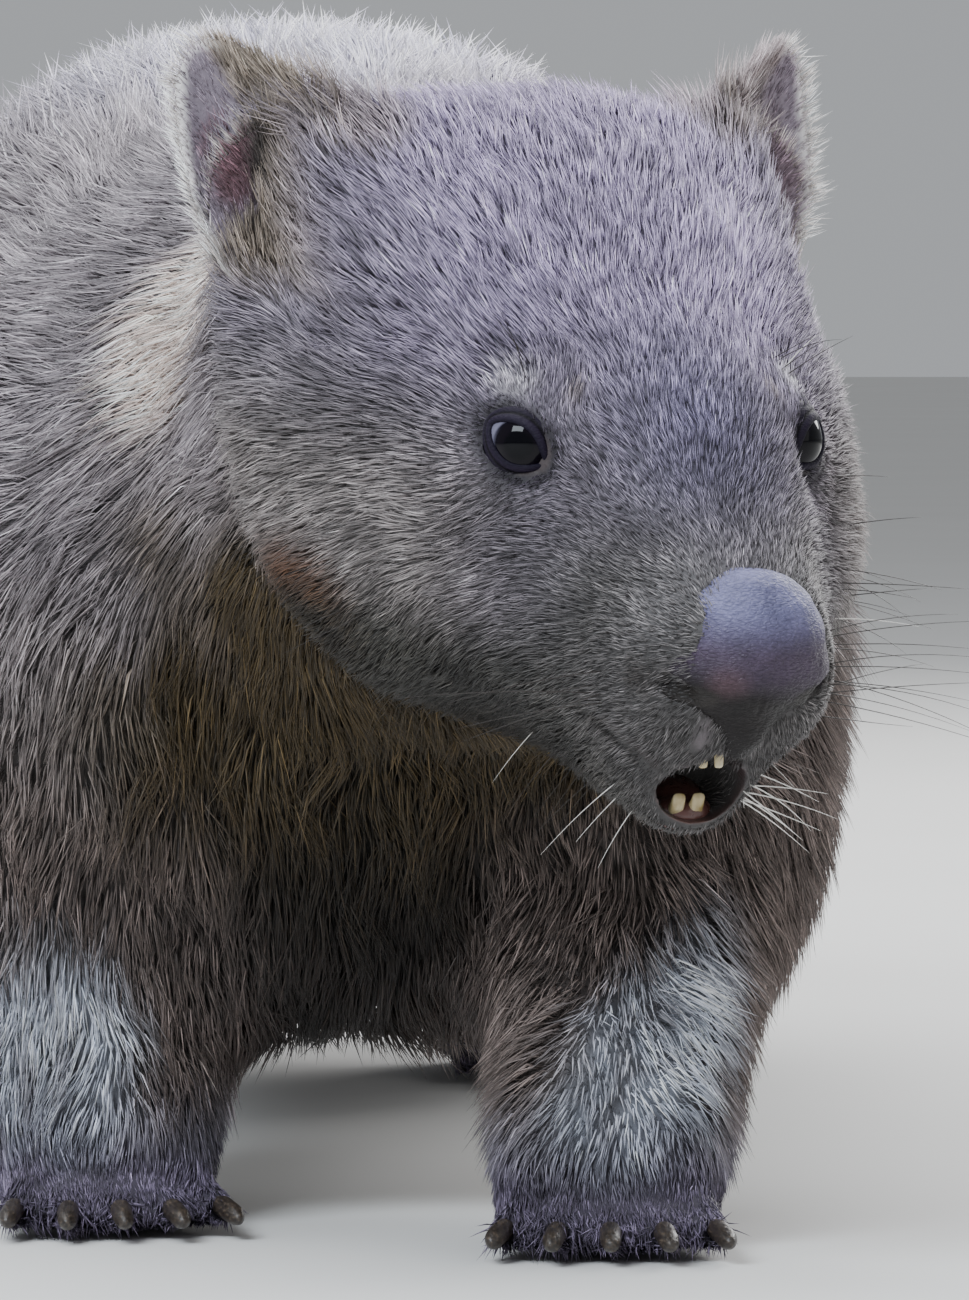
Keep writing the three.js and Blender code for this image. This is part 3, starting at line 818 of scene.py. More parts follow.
def room_inside(points, normals, triangles):
    """How thick the body is under each point of the skin, up to 60 mm."""
    tree = BVHTree.FromPolygons(points.tolist(), triangles.tolist())
    room = np.full(len(points), 60.0)
    for index, (point, normal) in enumerate(zip(points, normals)):
        way = Vector(-normal)
        reach = tree.ray_cast(Vector(point) + way * 0.2, way, 60.0)[3]
        if reach is not None:
            room[index] = reach
    return room


def dish_ears(points):
    """Sets the front wall of each ear back, so that the ear's inner side opens as one shallow dish."""
    h = in_head(points)
    aside, y, z = np.abs(h[:, 0]), h[:, 1], h[:, 2]
    bottom = 106 + 20 * rise(10, 36, z)
    amount = rise(60, 70, aside) * rise(2, 24, z) * rise(bottom + 2, bottom - 4, y) * rise(40, 60, y)
    h[:, 1] = blended(y, bottom - 0.12 * (bottom - y), amount)
    return from_head(h), amount


def under_lids(points):
    """Keeps the skin below the eyeball within the slit, and below the lids round it."""
    share = round_slit(points, 3.2)
    limit = EYEBALL - 1.6 + 2.5 * rise(0.78, 1.12, share) + 5 * rise(1.15, 1.8, share)
    limit = np.where(share < 1.8, limit, 1e9)
    for side in SIDES:
        centre = on_eye(side, (0, 0, 0))
        away = np.linalg.norm(points - centre, axis=1)
        pulled = np.where((away > limit) & (away < 30), limit / np.maximum(away, 1), 1)
        points = centre + (points - centre) * pulled[:, None]
    return points


def shape_skin(skin):
    """Smooths the facets away and draws the skin in under the coat."""
    mesh = skin.data
    part = SKIN["part"]
    points = points_of(mesh)
    edges = edges_of(mesh)
    h = in_head(points)
    eye = np.linalg.norm(from_nearest_eye(h), axis=1)
    mouth = np.linalg.norm((h - MOUTH) / (18, 30, 16), axis=1)
    nose = np.linalg.norm((h - (0, -66, -44)) / (28, 22, 26), axis=1)
    sharp = np.maximum.reduce([rise(20, 14, eye), rise(1.3, 0.9, mouth), rise(1.2, 0.9, nose), 0.8 * part["ear"]])
    strength = 0.55 * (1 - 0.88 * np.clip(sharp, 0, 1)) * (1 - 0.6 * part["paw"])
    points = relaxed(points, edges, strength, 30)
    set_points(mesh, points)
    normals = unit(relaxed(normals_of(mesh), edges, 0.5, 3))
    room = room_inside(points, normals, triangles_of(mesh))
    depth = np.minimum(depth_of_coat(points, part) + 0.45, 0.3 * room)
    depth = np.minimum(relaxed(depth, edges, 0.5, 10), 0.36 * room)
    groove = 1.5 * rise(2.6, 0.6, from_lip_line(h))
    points = under_lids(points - normals * (depth + groove)[:, None])
    points, part["dish"] = dish_ears(points)
    part["ear"] = np.maximum(part["ear"], part["dish"] * rise(12, 24, in_head(points)[:, 2]))
    points = relaxed(points, edges, np.maximum(strength * 0.6, 0.4 * part["dish"]), 8)
    set_points(mesh, points)
    SKIN["depth"] = depth


def ear_shares(points, part):
    """Adds the ears' rims and their long inner fur to the parts."""
    h = in_head(points)
    aside, z = np.abs(h[:, 0]), h[:, 2]
    own = part["ear"] > 0.5
    levels = np.arange(14, 92, 4.0)
    widest = [aside[own & (np.abs(z - level) < 3)].max(initial=0) for level in levels]
    columns = np.arange(60, 98, 3.0)
    highest = [z[own & (np.abs(aside - column) < 3)].max(initial=0) for column in columns]
    to_rim = np.minimum(np.interp(z, levels, widest) - aside, np.interp(aside, columns, highest) - z)
    u = across_ear(h)
    part["rim"] = part["ear"] * rise(4.5, 1.0, to_rim) * rise(-6, 2, u)
    part["inner"] = np.maximum(part["ear"] * rise(2, -3, u) * rise(82, 66, z), part["by_ear"])


# The lie of the coat


def lie_of_coat(points, normals, part):
    """The way that hairs point along the skin, as unit vectors that follow its surface."""
    h = in_head(points)
    x, y, z = h.T
    body = np.zeros_like(points)
    body[:, 1] = 1.0
    body[:, 2] = -0.55 * rise(0.9, 0.2, normals[:, 2]) - 0.25 * rise(-80, -260, points[:, 1])
    neck = np.zeros_like(points)
    neck[:, 1] = 0.75
    neck[:, 2] = -0.75
    body = blended(body, neck, part["neck"])
    chest = rise(-120, -240, points[:, 1]) * rise(210, 140, points[:, 2])
    body = blended(body, np.array((0, 0.15, -1.0)), chest)
    body = blended(body, np.array((0, 0.22, -1.0)), part["leg"])
    body = blended(body, np.array((0, -0.9, -0.45)), part["paw"])

    way = unit((h - NOSE_TIP) * (1.0, 0.9, 1.0))
    way[:, 1] += 0.45
    way[:, 2] -= 0.9 * rise(20, 60, np.abs(x)) * rise(30, -25, z)
    way[:, 2] -= 0.3 * rise(-30, -70, z)
    eye = from_nearest_eye(h)
    distance = np.linalg.norm(eye, axis=1)
    way += unit(eye) * (1.6 * rise(30, 12, distance))[:, None]
    out = np.sign(x)
    u = across_ear(h)
    to_tip = np.c_[EAR_LEAN[0] * out, np.full(len(x), EAR_LEAN[1]), np.full(len(x), EAR_LEAN[2])]
    way = blended(way, to_tip * 1.6, np.maximum(part["by_ear"], part["raised"]))
    lie = blended(body, way @ HEAD_AXES, part["head"])

    ear = to_tip + np.c_[out * np.clip(u / 14, -0.2, 1.2) * 0.9, 0 * x, 0 * x]
    ear = blended(ear, np.c_[out * 1.2, 0 * x, 0.5 + 0 * x], part["rim"])
    lie = blended(lie, ear @ HEAD_AXES, part["ear"])
    lie = lie - normals * np.sum(lie * normals, axis=1)[:, None]
    return unit(lie)


# Hairs


def charts_of(points, normals):
    """A place for each root on an unwrap of the skin: six flat charts, by the way that the skin faces."""
    axis = np.argmax(np.abs(normals), axis=1)
    facing = np.take_along_axis(normals, axis[:, None], 1)[:, 0] > 0
    low, high = points.min(axis=0), points.max(axis=0)
    shares = (points - low) / (high - low).max()
    u = np.choose(axis, [shares[:, 1], shares[:, 0], shares[:, 0]])
    v = np.choose(axis, [shares[:, 2], shares[:, 2], shares[:, 1]])
    column = axis
    row = facing.astype(int)
    margin = 0.02
    return np.c_[(column + margin + u * (1 - 2 * margin)) / 3, (row + margin + v * (1 - 2 * margin)) / 2]


TUFT_PATCH = 0.003
# Each hair is a solid spike: a pointed root in the skin, a three-sided ring on the way, and a tip.
HAIR_TRIANGLES = np.array([(1, 2, 0), (2, 3, 0), (3, 1, 0), (2, 1, 4), (3, 2, 4), (1, 3, 4)])
HAIR_PATCH = np.array([(0.5, 0.1), (0.1, 0.5), (0.9, 0.5), (0.5, 0.6), (0.5, 0.9)])
RING_AT = 0.42


def hair_mesh(name, roots, rings, tips, normals, width, root_colour, tip_colour):
    """One piece of many hairs, each with its root sunk a little way into the skin."""
    count = len(roots)
    run = unit(tips - roots)
    across = unit(np.cross(run, normals))
    lift = np.cross(across, run)
    points = np.empty((count, 5, 3))
    points[:, 0] = roots
    for i, (a, b) in enumerate([(-0.5, -0.2), (0.5, -0.2), (0, 0.5)], 1):
        points[:, i] = rings + (across * a + lift * b) * width[:, None]
    points[:, 4] = tips
    points[:, :, 2] = np.maximum(points[:, :, 2], 0.1)
    faces = (HAIR_TRIANGLES[None] + 5 * np.arange(count)[:, None, None]).reshape(-1, 3)
    piece = mesh_from(name, points.reshape(-1, 3), faces)
    share = np.array([0, 0.5, 0.5, 0.5, 1.0])[None, :, None]
    colours = root_colour[:, None] * (1 - share) + tip_colour[:, None] * share
    paint(piece, colours.reshape(-1, 3))
    places = charts_of(roots, normals)
    corner = places[:, None] + HAIR_PATCH[None] * TUFT_PATCH
    layer = piece.data.uv_layers.new(name="OFBake")
    flat = corner.reshape(-1, 2)[faces.ravel()].astype(np.float32)
    layer.data.foreach_set("uv", flat.ravel())
    return piece


def rooted(chance, count, random):
    """Spreads roots over the skin's triangles, as often as each point's chance says."""
    triangles = SKIN["triangles"]
    points = SKIN["points"]
    a, b, c = (points[triangles[:, i]] for i in range(3))
    area = np.linalg.norm(np.cross(b - a, c - a), axis=1) / 2
    weight = area * chance[triangles].mean(axis=1)
    total = np.cumsum(weight)
    picks = np.searchsorted(total, (np.arange(count) + random.random(count)) / count * total[-1])
    picks = np.minimum(picks, len(triangles) - 1)
    first = np.sqrt(random.random(count))
    second = random.random(count)
    shares = np.stack([1 - first, first * (1 - second), first * second], axis=1)
    return triangles[picks], shares


def at_roots(values, corners, shares):
    picked = values[corners]
    return np.einsum("ij...,ij->i...", picked, shares)


def prepare_roots(skin):
    """Keeps what every hair needs from the finished skin: its shape, normals, lie, colours and parts."""
    mesh = skin.data
    points = points_of(mesh)
    normals = normals_of(mesh)
    edges = edges_of(mesh)
    part = SKIN["part"]
    ear_shares(points, part)
    colours = markings_and_painted_light(points, normals, part)
    lie = unit(relaxed(lie_of_coat(points, normals, part), edges, 0.5, 4))
    naked, bare_colour, wet = bare(points)
    SKIN.update(
        points=points, normals=normals, lie=lie, colours=colours, triangles=triangles_of(mesh), naked=naked
    )
    under = colours * blended(0.35, 0.8, part["ear"])[:, None]
    paint(skin, blended(under, bare_colour, naked))
    store(skin, wet, "wet")


def hair_sizes(points, part):
    """The length and width of a hair, in millimetres, and how thickly hairs grow, at points of the skin."""
    h = in_head(points)
    x, y, z = h.T
    length = 33.0 + 0 * x
    width = 0.85 + 0 * x
    crowd = 0.13 + 0 * x
    seen = rise(60, -140, points[:, 1])
    length = blended(length, 23.0, seen)
    width = blended(width, 0.56, seen)
    crowd = blended(crowd, 0.42, seen)
    length = blended(length, 19.0, part["neck"])
    width = blended(width, 0.46, part["neck"])
    crowd = blended(crowd, 0.62, part["neck"])
    leg = part["leg"]
    length = blended(length, 16.0, leg)
    width = blended(width, blended(0.85, 0.5, seen), leg)
    crowd = blended(crowd, blended(0.22, 0.72, seen), leg)
    length = blended(length, 8.5, part["paw"])
    width = blended(width, 0.45, part["paw"])
    crowd = blended(crowd, blended(0.5, 1.0, seen), part["paw"])
    face_length = 6.0 + 3.5 * rise(-40, 40, y) + 6.0 * rise(50, 120, y)
    eye = np.linalg.norm(from_nearest_eye(h), axis=1)
    face_length = blended(face_length, 3.4, rise(28, 12, eye))
    face_length = blended(face_length, 3.4, rise(-44, -62, y))
    face_length = blended(face_length, 14.0, rise(-64, -90, z) * rise(-34, -8, y))
    head = part["head"]
    length = blended(length, face_length, head)
    width = blended(width, 0.27 + 0.13 * rise(-20, 110, y), head)
    crowd = blended(crowd, 1.75 - 0.95 * rise(-10, 110, y), head)
    ear = part["ear"]
    length = blended(length, 4.2, ear)
    length = blended(length, 7.5, part["rim"])
    length = blended(length, 14.0, part["inner"])
    width = blended(width, 0.27, ear)
    width = blended(width, 0.32, part["inner"])
    crowd = blended(crowd, 1.3, ear)
    return length, width, crowd


CLUMP_OF = 9


def climb(lie, normal, sine):
    """The way of a hair that leaves the skin at an angle of a given sine."""
    return lie * np.sqrt(1 - sine**2)[:, None] + normal * sine[:, None]


def grow_coat(share_of_hairs):
    """Grows every hair over the skin and returns the coat's pieces."""
    random = np.random.default_rng(7)
    points, normals, part = SKIN["points"], SKIN["normals"], SKIN["part"]
    length, width, crowd = hair_sizes(points, part)
    crowd = crowd * (1 - rise(0.15, 0.5, SKIN["naked"]))
    triangles = SKIN["triangles"]
    a, b, c = (points[triangles[:, i]] for i in range(3))
    area = np.linalg.norm(np.cross(b - a, c - a), axis=1) / 2
    wanted = int((area * crowd[triangles].mean(axis=1)).sum() * share_of_hairs)
    count = min(wanted, HAIRS_AT_MOST)
    print("hairs wanted", wanted, "made", count)
    corners, shares = rooted(crowd, count, random)
    root = at_roots(points, corners, shares)
    normal = unit(at_roots(normals, corners, shares))
    lie = unit(at_roots(SKIN["lie"], corners, shares))
    colour = at_roots(SKIN["colours"], corners, shares)
    long = at_roots(length, corners, shares)
    wide = at_roots(width, corners, shares)
    depth = at_roots(SKIN["depth"], corners, shares)
    head = at_roots(part["head"], corners, shares)
    owner = SKIN["owner"][corners[:, 0]]

    paw = at_roots(part["paw"], corners, shares)
    wave = wander(root, 16, 1) * blended(1.0, 0.45, head)[:, None] + wander(root, 5, 2) * 0.5
    wave = wave * (1 - 0.7 * paw)[:, None]
    lie = unit(lie + 0.75 * wave + random.normal(0, 0.13, root.shape))
    lie = unit(lie - normal * np.sum(lie * normal, axis=1)[:, None])
    uneven = np.minimum(np.exp(random.normal(0, 0.2, count)), 1.35)
    long = long * uneven * (1 + 0.5 * drift(root, 30, 5))
    slope = np.clip(depth / long, 0.16, 0.8) * (1 + 0.25 * random.standard_normal(count))
    slope = np.clip(slope, 0.08, 0.9)
    raised = at_roots(part["raised"], corners, shares)
    slope = blended(slope, 0.6, raised)
    long = long * (1 + np.where(in_head(root)[:, 0] > 0, 0.55, 0.35) * raised)
    slope = blended(slope, 0.2, paw)
    steep = np.clip(slope * 1.45, 0, 0.98)
    flat = slope * 0.6
    root = root - normal * 0.5
    middle = root + climb(lie, normal, steep) * (long * RING_AT)[:, None]
    tip = middle + climb(lie, normal, flat) * (long * (1 - RING_AT))[:, None]

    leaders = np.arange(0, count, CLUMP_OF)
    tree = KDTree(len(leaders))
    for index, leader in enumerate(leaders):
        tree.insert(root[leader], index)
    tree.balance()
    nearest = leaders[[tree.find(p)[1] for p in root.tolist()]]
    pull = (0.42 * random.random(count) ** 0.7)[:, None]
    tip = tip + (tip[nearest] - tip) * pull
    middle = middle + (middle[nearest] - middle) * pull * 0.35

    bright = np.exp(random.normal(0, 0.38, count) + 0.5 * drift(root, 9, 8) + 0.5 * drift(root, 4, 9))
    silver = random.random(count) < 0.16
    bright = np.where(silver, bright * 1.6, bright)
    tip_colour = colour * bright[:, None] * 1.15
    dark_root = blended(blended(0.32, 0.26, head), 0.75, at_roots(part["ear"], corners, shares))
    dark_root = dark_root + 0.35 * rise(0.55, 0.95, colour[:, 0])
    root_colour = colour * (dark_root * (0.6 + 0.4 * bright))[:, None] * (1.06, 1.0, 0.93)

    pieces = []
    for name, nodes in COAT_PIECES.items():
        chosen = np.flatnonzero(np.isin(owner, [FLESH.index(node) for node in nodes]))
        blocks = max(1, math.ceil(len(chosen) / HAIRS_A_PIECE))
        chosen = chosen[np.argsort(root[chosen, 1], kind="stable")]
        for number, block in enumerate(np.array_split(chosen, blocks), 1):
            piece = hair_mesh(
                f"coat_{name}_{number}" if blocks > 1 else f"coat_{name}",
                root[block], middle[block], tip[block], normal[block], wide[block],
                root_colour[block], tip_colour[block],
            )
            pieces.append((piece, name))
    return pieces


HAIRS_AT_MOST = 247000
HAIRS_A_PIECE = 33000
COAT_PIECES = {
    "head": ["head", "nose", "jaw"],
    "ears": EARS,
    "neck": ["neck"],
    "body": ["torso", "tail"],
    "legs": LEGS,
    "paws": PAWS,
}


# Eyes and lids


IRIS_FORWARD = 1.2


def make_eye(side):
    bpy.ops.object.select_all(action="DESELECT")
    bpy.ops.mesh.primitive_uv_sphere_add(segments=72, ring_count=48, radius=EYEBALL * MM)
    eye = bpy.context.object
    eye.name = eye.data.name = f"eyeball_{side}"
    local = points_of(eye.data)
    distance = np.hypot(local[:, 0] + IRIS_FORWARD, local[:, 1])
    outward = local[:, 2] > 0
    cornea = np.where(outward, 0.4 * rise(7.4, 3.0, distance), 0)
    local = local * (1 + cornea / EYEBALL)[:, None]
    white = np.array((0.12, 0.115, 0.16))
    iris = np.array((0.003, 0.002, 0.004))
    pupil = np.array((0.001, 0.001, 0.002))
    ring = np.array((0.002, 0.0015, 0.005))
    colour = blended(np.tile(pupil, (len(local), 1)), iris, rise(3.4, 4.2, distance))
    colour = blended(colour, ring, rise(6.2, 6.8, distance))
    colour = blended(colour, white, np.where(outward, rise(7.0, 7.7, distance), 1))
    only(eye)
    set_points(eye.data, on_eye(side, local))
    bpy.ops.object.mode_set(mode="EDIT")
    bpy.ops.mesh.select_all(action="SELECT")
    bpy.ops.mesh.normals_make_consistent(inside=False)
    bpy.ops.object.mode_set(mode="OBJECT")
    bpy.ops.object.shade_smooth()
    paint(eye, colour)
    return eye


# Each ring of the lid: how far out from the slit's edge, and how high over the eyeball.
LID_RINGS = [
    (0.0, -0.5), (0.0, 0.1), (0.1, 0.5), (0.4, 0.75), (0.9, 0.9), (1.5, 0.95), (2.1, 0.85), (2.5, 0.5),
    (2.8, 0.5), (3.3, 0.8), (4.1, 0.9), (5.0, 0.5), (6.0, -0.6), (7.0, -2.0), (6.7, -3.0), (4.0, -1.8),
]
LID_AROUND = 80


def slit_edge(turn):
    """The slit's edge at an angle round it: an almond with a rounder upper side and a pointed front."""
    x = math.cos(turn)
    y = math.sin(turn)
    high = SLIT["upper"] if y > 0 else SLIT["lower"]
    flat_x = SLIT["half_width"] * x
    flat_y = high * y * (1 - (0.6 if x < 0 else 0.3) * abs(x) ** 2.2)
    tilt = SLIT["tilt"]
    return flat_x * math.cos(tilt) - flat_y * math.sin(tilt), flat_x * math.sin(tilt) + flat_y * math.cos(tilt)


def make_lids(side):
    turns = np.arange(LID_AROUND) / LID_AROUND * 2 * math.pi
    edge = np.array([slit_edge(turn) for turn in turns])
    radius = np.hypot(edge[:, 0], edge[:, 1])
    way = edge / radius[:, None]
    start = np.arcsin(np.clip(radius / EYEBALL, 0, 0.97))
    rings = []
    fold = 1 + 0.35 * np.sin(turns)
    for out, high in LID_RINGS:
        angle = start + out / EYEBALL * (0.85 + 0.15 * fold)
        away = EYEBALL + high
        rings.append(np.c_[way * (np.sin(angle) * away)[:, None], np.cos(angle) * away])
    local = np.concatenate(rings)
    count = len(LID_RINGS)
    faces = []
    for ring in range(count):
        here, following = ring * LID_AROUND, (ring + 1) % count * LID_AROUND
        for step in range(LID_AROUND):
            beside = (step + 1) % LID_AROUND
            faces.append((here + step, following + step, following + beside, here + beside))
    lids = mesh_from(f"lids_{side}", on_eye(side, local), np.array(faces))
    outs = np.repeat([out for out, high in LID_RINGS], LID_AROUND)
    lid = np.array((0.013, 0.009, 0.019))
    margin = np.array((0.007, 0.005, 0.012))
    # The crease colour is painted shade, for the dip between the lid's two folds.
    crease = np.array((0.005, 0.004, 0.006))
    colour = blended(np.tile(margin, (len(local), 1)), lid, rise(0.3, 1.2, outs))
    # The dip between the lid's two folds is darker: painted shade.
    colour = blended(colour, crease, rise(2.0, 2.5, outs) * rise(3.5, 2.9, outs))
    colour = blended(colour, lid * 0.7, rise(3.6, 5, outs))
    paint(lids, colour)
    only(lids)
    bpy.ops.object.mode_set(mode="EDIT")
    bpy.ops.mesh.select_all(action="SELECT")
    bpy.ops.mesh.normals_make_consistent(inside=False)
    bpy.ops.object.mode_set(mode="OBJECT")
    modified(lids, "SUBSURF", levels=1, render_levels=1)
    return lids


# Nose pad, teeth and claws


def make_pad():
    pad = copied(["nose"], "nose_pad")
    modified(pad, "REMESH", mode="VOXEL", voxel_size=0.55 * MM, adaptivity=0.0)
    mesh = pad.data
    points = points_of(mesh)
    edges = edges_of(mesh)
    points = relaxed(points, edges, 0.5, 26)
    set_points(mesh, points)
    normals = normals_of(mesh)
    h = in_head(points)
    x, y, z = h.T
    swell = 0.35 + 0.25 * drift(points, 6, 21) + 0.14 * drift(points, 1.6, 22)
    groove = spot(h, (0, -82, -52), (1.6, 8, 10))
    points = points + normals * (swell - 0.9 * groove)[:, None]
    pinched = in_head(points)
    pinched[:, 0] *= pinch(pinched)
    set_points(mesh, from_head(pinched))
    # A lighter blue for the pad's top: painted cool sky light over the pad's own mauve.
    top = np.array((0.125, 0.122, 0.225))
    mauve = np.array((0.055, 0.038, 0.064))
    lower = np.array((0.005, 0.003, 0.003))
    # The upper pad takes the painted cool sky light.
    colour = blended(np.tile(mauve, (len(points), 1)), top, rise(-38, -24, z))
    colour = blended(colour, lower, rise(-38, -50, z + 0.15 * x))
    pinkish = spot(h, (-10, -78, -44), (9, 9, 7))
    colour = blended(colour, np.array((0.085, 0.045, 0.055)), 0.6 * pinkish)
    # Dark slits where the nostrils open: painted shade in place of openings.
    slit = np.minimum(
        np.linalg.norm((h - (18.5, -73, -49)) / (9, 9, 3.4), axis=1),
        np.linalg.norm((h - (-18.5, -73, -49)) / (9, 9, 3.4), axis=1),
    )
    colour = blended(colour, C["dark"] * 0.4, rise(1.15, 0.75, slit))
    paint(pad, colour * (1 + 0.3 * drift(points, 7, 23))[:, None])
    only(pad)
    bpy.ops.object.shade_smooth()
    return pad


def make_rounded(nodes, name, levels):
    piece = copied(nodes, name)
    modified(piece, "SUBSURF", levels=levels, render_levels=levels)
    only(piece)
    bpy.ops.object.shade_smooth()
    return piece


# How each pair of incisors is moved forward and down, and how it is widened, in the head's frame.
INCISORS = {
    "upper": {"move": (-3.4, -9.5, -3.3), "scale": (0.85, 0.6, 0.75)},
    "lower": {"move": (-1.2, -1.0, -2.6), "scale": (1.0, 0.6, 0.8)},
}


def make_incisors():
    """Four chisels: each CAD tooth made broader and squarer, with a cutting edge."""
    teeth = []
    for level, change in INCISORS.items():
        for side in SIDES:
            tooth = make_rounded([f"tooth_{level}_{side}"], "incisors", 3)
            h = in_head(points_of(tooth.data))
            low, high = h.min(axis=0), h.max(axis=0)
            middle = (low + high) / 2
            n = (h - middle) / (high - low) * 2
            square = np.sign(n) * np.abs(n) ** np.array((0.6, 0.8, 0.85))
            square[:, 1] *= 1 - 0.35 * np.abs(square[:, 2])
            h = middle + square * (high - low) / 2 * change["scale"] + change["move"]
            set_points(tooth.data, from_head(h))
            teeth.append(tooth)
    bpy.ops.object.select_all(action="DESELECT")
    for tooth in teeth:
        tooth.select_set(True)
    bpy.context.view_layer.objects.active = teeth[0]
    bpy.ops.object.join()
    teeth[0].name = teeth[0].data.name = "incisors"
    return teeth[0]


# The gum under the lower teeth and the tongue behind them: middle and half sizes, in the head's frame.
MOUTH_FLESH = [((-4.6, -43, -87.5), (8.6, 6, 4.6)), ((-3.5, -30, -85), (8.5, 14, 4.5))]


def make_gums():
    points, faces = [], []
    around, levels = 40, 22
    for middle, half in MOUTH_FLESH:
        first = len(points)
        for level in range(levels + 1):
            tilt = math.pi * level / levels
            for step in range(around):
                turn = 2 * math.pi * step / around
                way = (math.sin(tilt) * math.cos(turn), math.sin(tilt) * math.sin(turn), math.cos(tilt))
                points.append([m + h * w for m, h, w in zip(middle, half, way)])
        for level in range(levels):
            for step in range(around):
                here = first + level * around + step
                beside = first + level * around + (step + 1) % around
                faces.append((here, here + around, beside + around, beside))
    h = np.array(points)
    h += 0.35 * wander(h, 2.2, 31)
    gums = mesh_from("gums", from_head(h), np.array(faces))
    only(gums)
    bpy.ops.object.mode_set(mode="EDIT")
    bpy.ops.mesh.select_all(action="SELECT")
    bpy.ops.mesh.remove_doubles(threshold=1e-6)
    bpy.ops.mesh.normals_make_consistent(inside=False)
    bpy.ops.object.mode_set(mode="OBJECT")
    return gums


def gum_material():
    sheet = Sheet("gum")
    fine = sheet.speckle(500.0, 3.0)
    colour = sheet.mixed(fine, (0.055, 0.020, 0.017), (0.125, 0.052, 0.044))
    return sheet.surface(
        Base_Color=colour,
        Roughness=sheet.between(fine, 0.2, 0.4),
        Normal=sheet.bump(fine, 0.3),
    )


# Whiskers

WHISKER_SEGMENTS = 9
# Each group of whiskers: its middle and spread in the head's frame, how many on each side (right, left), their
# length, thickness and way, and the share of pale ones.
WHISKER_GROUPS = [
    {"at": (25, -46, -50), "spread": (4, 12, 9), "count": (5, 14), "long": 50, "thick": 0.26,
     "way": (1, 0.25, -0.05), "pale": 0.0},
    {"at": (13, -50, -82), "spread": (4, 5, 6), "count": (0, 8), "long": 27, "thick": 0.36,
     "way": (0.95, -0.1, -0.25), "pale": 1.0},
    {"at": (40, 10, 26), "spread": (5, 5, 3), "count": (3, 5), "long": 26, "thick": 0.3,
     "way": (0.7, -0.2, 0.7), "pale": 0.2},
    {"at": (52, 40, -42), "spread": (4, 7, 6), "count": (3, 5), "long": 28, "thick": 0.24,
     "way": (1, 0.2, -0.3), "pale": 0.0},
    {"at": (26, -16, -88), "spread": (12, 20, 3), "count": (9, 4), "long": 26, "thick": 0.2,
     "way": (0.55, 0.35, -0.8), "pale": 0.6},
    {"at": (62, 0, -30), "spread": (3, 10, 30), "count": (0, 8), "long": 30, "thick": 0.3,
     "way": (1, 0.1, 0.1), "pale": 0.1},
]


def make_whiskers():
    random = np.random.default_rng(11)
    tree = KDTree(len(SKIN["points"]))
    for index, point in enumerate(SKIN["points"].tolist()):
        tree.insert(point, index)
    tree.balance()
    points, faces, colours = [], [], []
    for group in WHISKER_GROUPS:
        for sign, count in zip((RIGHT, LEFT), group["count"]):
            for _ in range(count):
                where = np.array(group["at"]) + random.uniform(-1, 1, 3) * group["spread"]
                where[0] *= sign
                place, index, _ = tree.find(from_head(where[None])[0])
                normal = SKIN["normals"][index]
                way = np.array(group["way"], float) + random.normal(0, 0.2, 3)
                way[0] *= sign
                way = unit(way @ HEAD_AXES + normal * 0.35)
                droop = np.array((0, 0.1, -0.25)) + random.normal(0, 0.12, 3)
                long = group["long"] * random.uniform(0.6, 1.1)
                across = unit(np.cross(way, (0.1, 0.2, 1)))
                above = np.cross(across, way)
                first = len(points)
                pale = random.random() < group["pale"]
                own_colour = np.array((0.72, 0.70, 0.66)) if pale else C["dark"] * 0.8
                for step in range(WHISKER_SEGMENTS + 1):
                    share = step / WHISKER_SEGMENTS
                    centre = np.array(place) - normal * 0.6 + way * long * share + droop * long * share**2 * 0.5
                    thick = group["thick"] * (1 - share) ** 0.7 / 2 + 0.03
                    for turn in range(4):
                        angle = turn * math.pi / 2
                        points.append(centre + thick * (across * math.cos(angle) + above * math.sin(angle)))
                        colours.append(own_colour)
                for step in range(WHISKER_SEGMENTS):
                    for turn in range(4):
                        here = first + step * 4
                        beside = (turn + 1) % 4
                        faces.append((here + turn, here + beside, here + 4 + beside, here + 4 + turn))
                last = first + WHISKER_SEGMENTS * 4
                faces.append((first + 3, first + 2, first + 1, first))
                faces.append((last, last + 1, last + 2, last + 3))
    whiskers = mesh_from("whiskers", np.array(points), np.array(faces))
    paint(whiskers, np.array(colours))
    return whiskers


# Stage

CAMERA = {"place": (-109.9, -2786.5, 267.0), "pitch": 2.376, "yaw": -3.3, "focal_px": 9160}


def make_camera():
    data = bpy.data.cameras.new("camera")
    data.sensor_fit = "VERTICAL"
    data.sensor_height = 36
    data.lens = 36 * CAMERA["focal_px"] / PHOTO_SIZE[1]
    data.clip_start = 0.05
    data.clip_end = 50
    camera = bpy.data.objects.new("camera", data)
    bpy.context.collection.objects.link(camera)
    camera.location = Vector(CAMERA["place"]) * MM
    camera.rotation_euler = (math.radians(90 - CAMERA["pitch"]), 0, math.radians(CAMERA["yaw"]))
    bpy.context.scene.camera = camera


# Softboxes: place in metres, width and height, power in watts, colour.
LIGHTS = [
    {"name": "key", "place": (-1.3, -2.2, 2.1), "wide": 1.7, "tall": 0.95, "power": 112, "colour": (0.84, 0.92, 1.0)},
    {"name": "fill", "place": (2.4, -1.6, 1.0), "wide": 1.8, "tall": 1.8, "power": 9, "colour": (1.0, 0.98, 0.95)},
    {"name": "sky", "place": (-0.3, 0.2, 2.7), "wide": 3.0, "tall": 3.0, "power": 122, "colour": (0.93, 0.96, 1.0)},
    {"name": "rim", "place": (1.6, 2.0, 1.5), "wide": 1.5, "tall": 1.5, "power": 70, "colour": (1.0, 1.0, 1.0)},
]


